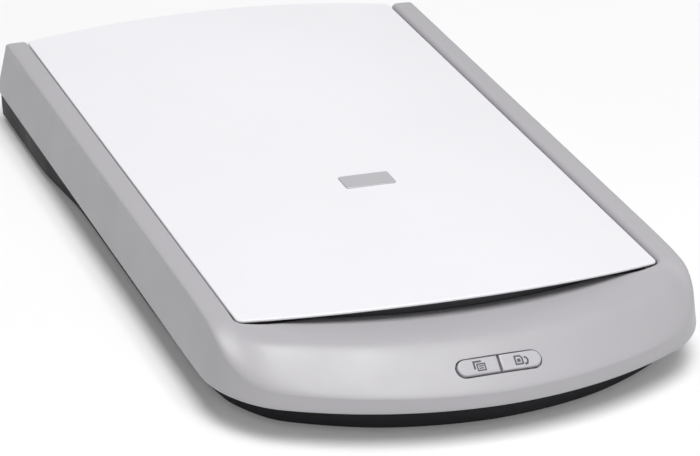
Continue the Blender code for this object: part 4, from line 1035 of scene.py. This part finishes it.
def cover_screws():
    bm = bmesh.new()
    for sx in (-1, 1):
        for y in (-157.0 + 2.0, -137.0 + 21.5):
            skin_into(bm, lathe_loops(sx * 100.0, y, ((2.4, 31.8), (2.4, 32.15), (2.0, 32.4), (1.2, 32.42), (1.0, 32.1), (0.2, 32.1)), 28))
    return put("cover_screws", bm, ZINC, 35.0)


settle(board_parts(), "base", "black_plastic")
settle(board_cans(), "base", "zinc")
settle(cover_screws(), "carriage", "zinc")


# ================================================================ stage, light and camera
def floor_finish():
    f = Finish("floor_paper")
    f.color(f.shades(f.noise(3.0, 2.0), [(0.3, (0.755, 0.755, 0.760)), (0.7, (0.765, 0.765, 0.770))]))
    f.rough(f.remap(f.noise(8.0), 0.80, 0.92))
    f.set(Specular_IOR_Level=0.1, Emission_Strength=0.125, Emission_Color=(1.0, 1.0, 1.0, 1.0))
    return f.mat


floor_bm = bmesh.new()
bmesh.ops.create_grid(floor_bm, x_segments=8, y_segments=8, size=6000.0)
floor = put("floor", floor_bm, floor_finish())

world = bpy.data.worlds.new("studio")
bpy.context.scene.world = world
world.use_nodes = True
wt = world.node_tree
sky = wt.nodes["Background"]
direction = wt.nodes.new("ShaderNodeTexCoord")
split = wt.nodes.new("ShaderNodeSeparateXYZ")
wt.links.new(direction.outputs["Generated"], split.inputs["Vector"])
level = wt.nodes.new("ShaderNodeMapRange")
level.inputs["From Min"].default_value = -0.2
level.inputs["From Max"].default_value = 1.0
level.inputs["To Min"].default_value = 0.19
level.inputs["To Max"].default_value = 0.19
wt.links.new(split.outputs["Z"], level.inputs["Value"])
wt.links.new(level.outputs["Result"], sky.inputs["Strength"])
sky.inputs["Color"].default_value = (0.985, 0.985, 1.0, 1.0)


def soft_light(name, toward, distance, wide, deep, level):
    """A soft light in the direction given, bright enough to add that much to a surface facing it."""
    data = bpy.data.lights.new(name, "AREA")
    data.shape = "RECTANGLE"
    data.size, data.size_y = wide, deep
    data.energy = level * pi * pi * distance * distance
    obj = bpy.data.objects.new(name, data)
    COLLECTION.objects.link(obj)
    d = Vector(toward).normalized()
    obj.location = Vector((0.0, 0.0, 0.03)) + d * distance
    across = (Vector((1.0, 0.0, 0.0)) - d * d.x).normalized()
    obj.rotation_euler = Matrix((across, d.cross(across), d)).transposed().to_euler()
    return obj


soft_light("overhead", (0.0, -0.2, 1.0), 5.0, 3.1, 3.6, 1.07)
soft_light("front_fill", (-0.1, -0.9, 0.42), 1.6, 1.0, 1.0, 0.11)
soft_light("rear_fill", (0.36, 0.82, 0.45), 4.0, 3.0, 1.2, 0.035)

AZ, EL, ROLL = radians(-23.21), radians(26.19), radians(3.19)
back = Vector((sin(AZ) * cos(EL), -cos(AZ) * cos(EL), sin(EL)))
right = Vector((cos(AZ), sin(AZ), 0.0))
up = back.cross(right)
right2 = cos(ROLL) * right + sin(ROLL) * up
up2 = -sin(ROLL) * right + cos(ROLL) * up
place = Vector((0.0, 37.45, 48.0)) + 16.73 * right2 - 48.62 * up2 + 1713.68 * back
camera_data = bpy.data.cameras.new("camera")
camera_data.sensor_fit = "HORIZONTAL"
camera_data.sensor_width = 36.0
camera_data.lens = 2977.41 * 36.0 / 700.0
camera_data.clip_start, camera_data.clip_end = 0.05, 40.0
camera = bpy.data.objects.new("camera", camera_data)
COLLECTION.objects.link(camera)
camera.matrix_world = Matrix.Translation(place * MM) @ Matrix((right2, up2, back)).transposed().to_4x4()
bpy.context.scene.camera = camera
bpy.context.scene.view_settings.view_transform = "Standard"

bpy.context.view_layer.update()
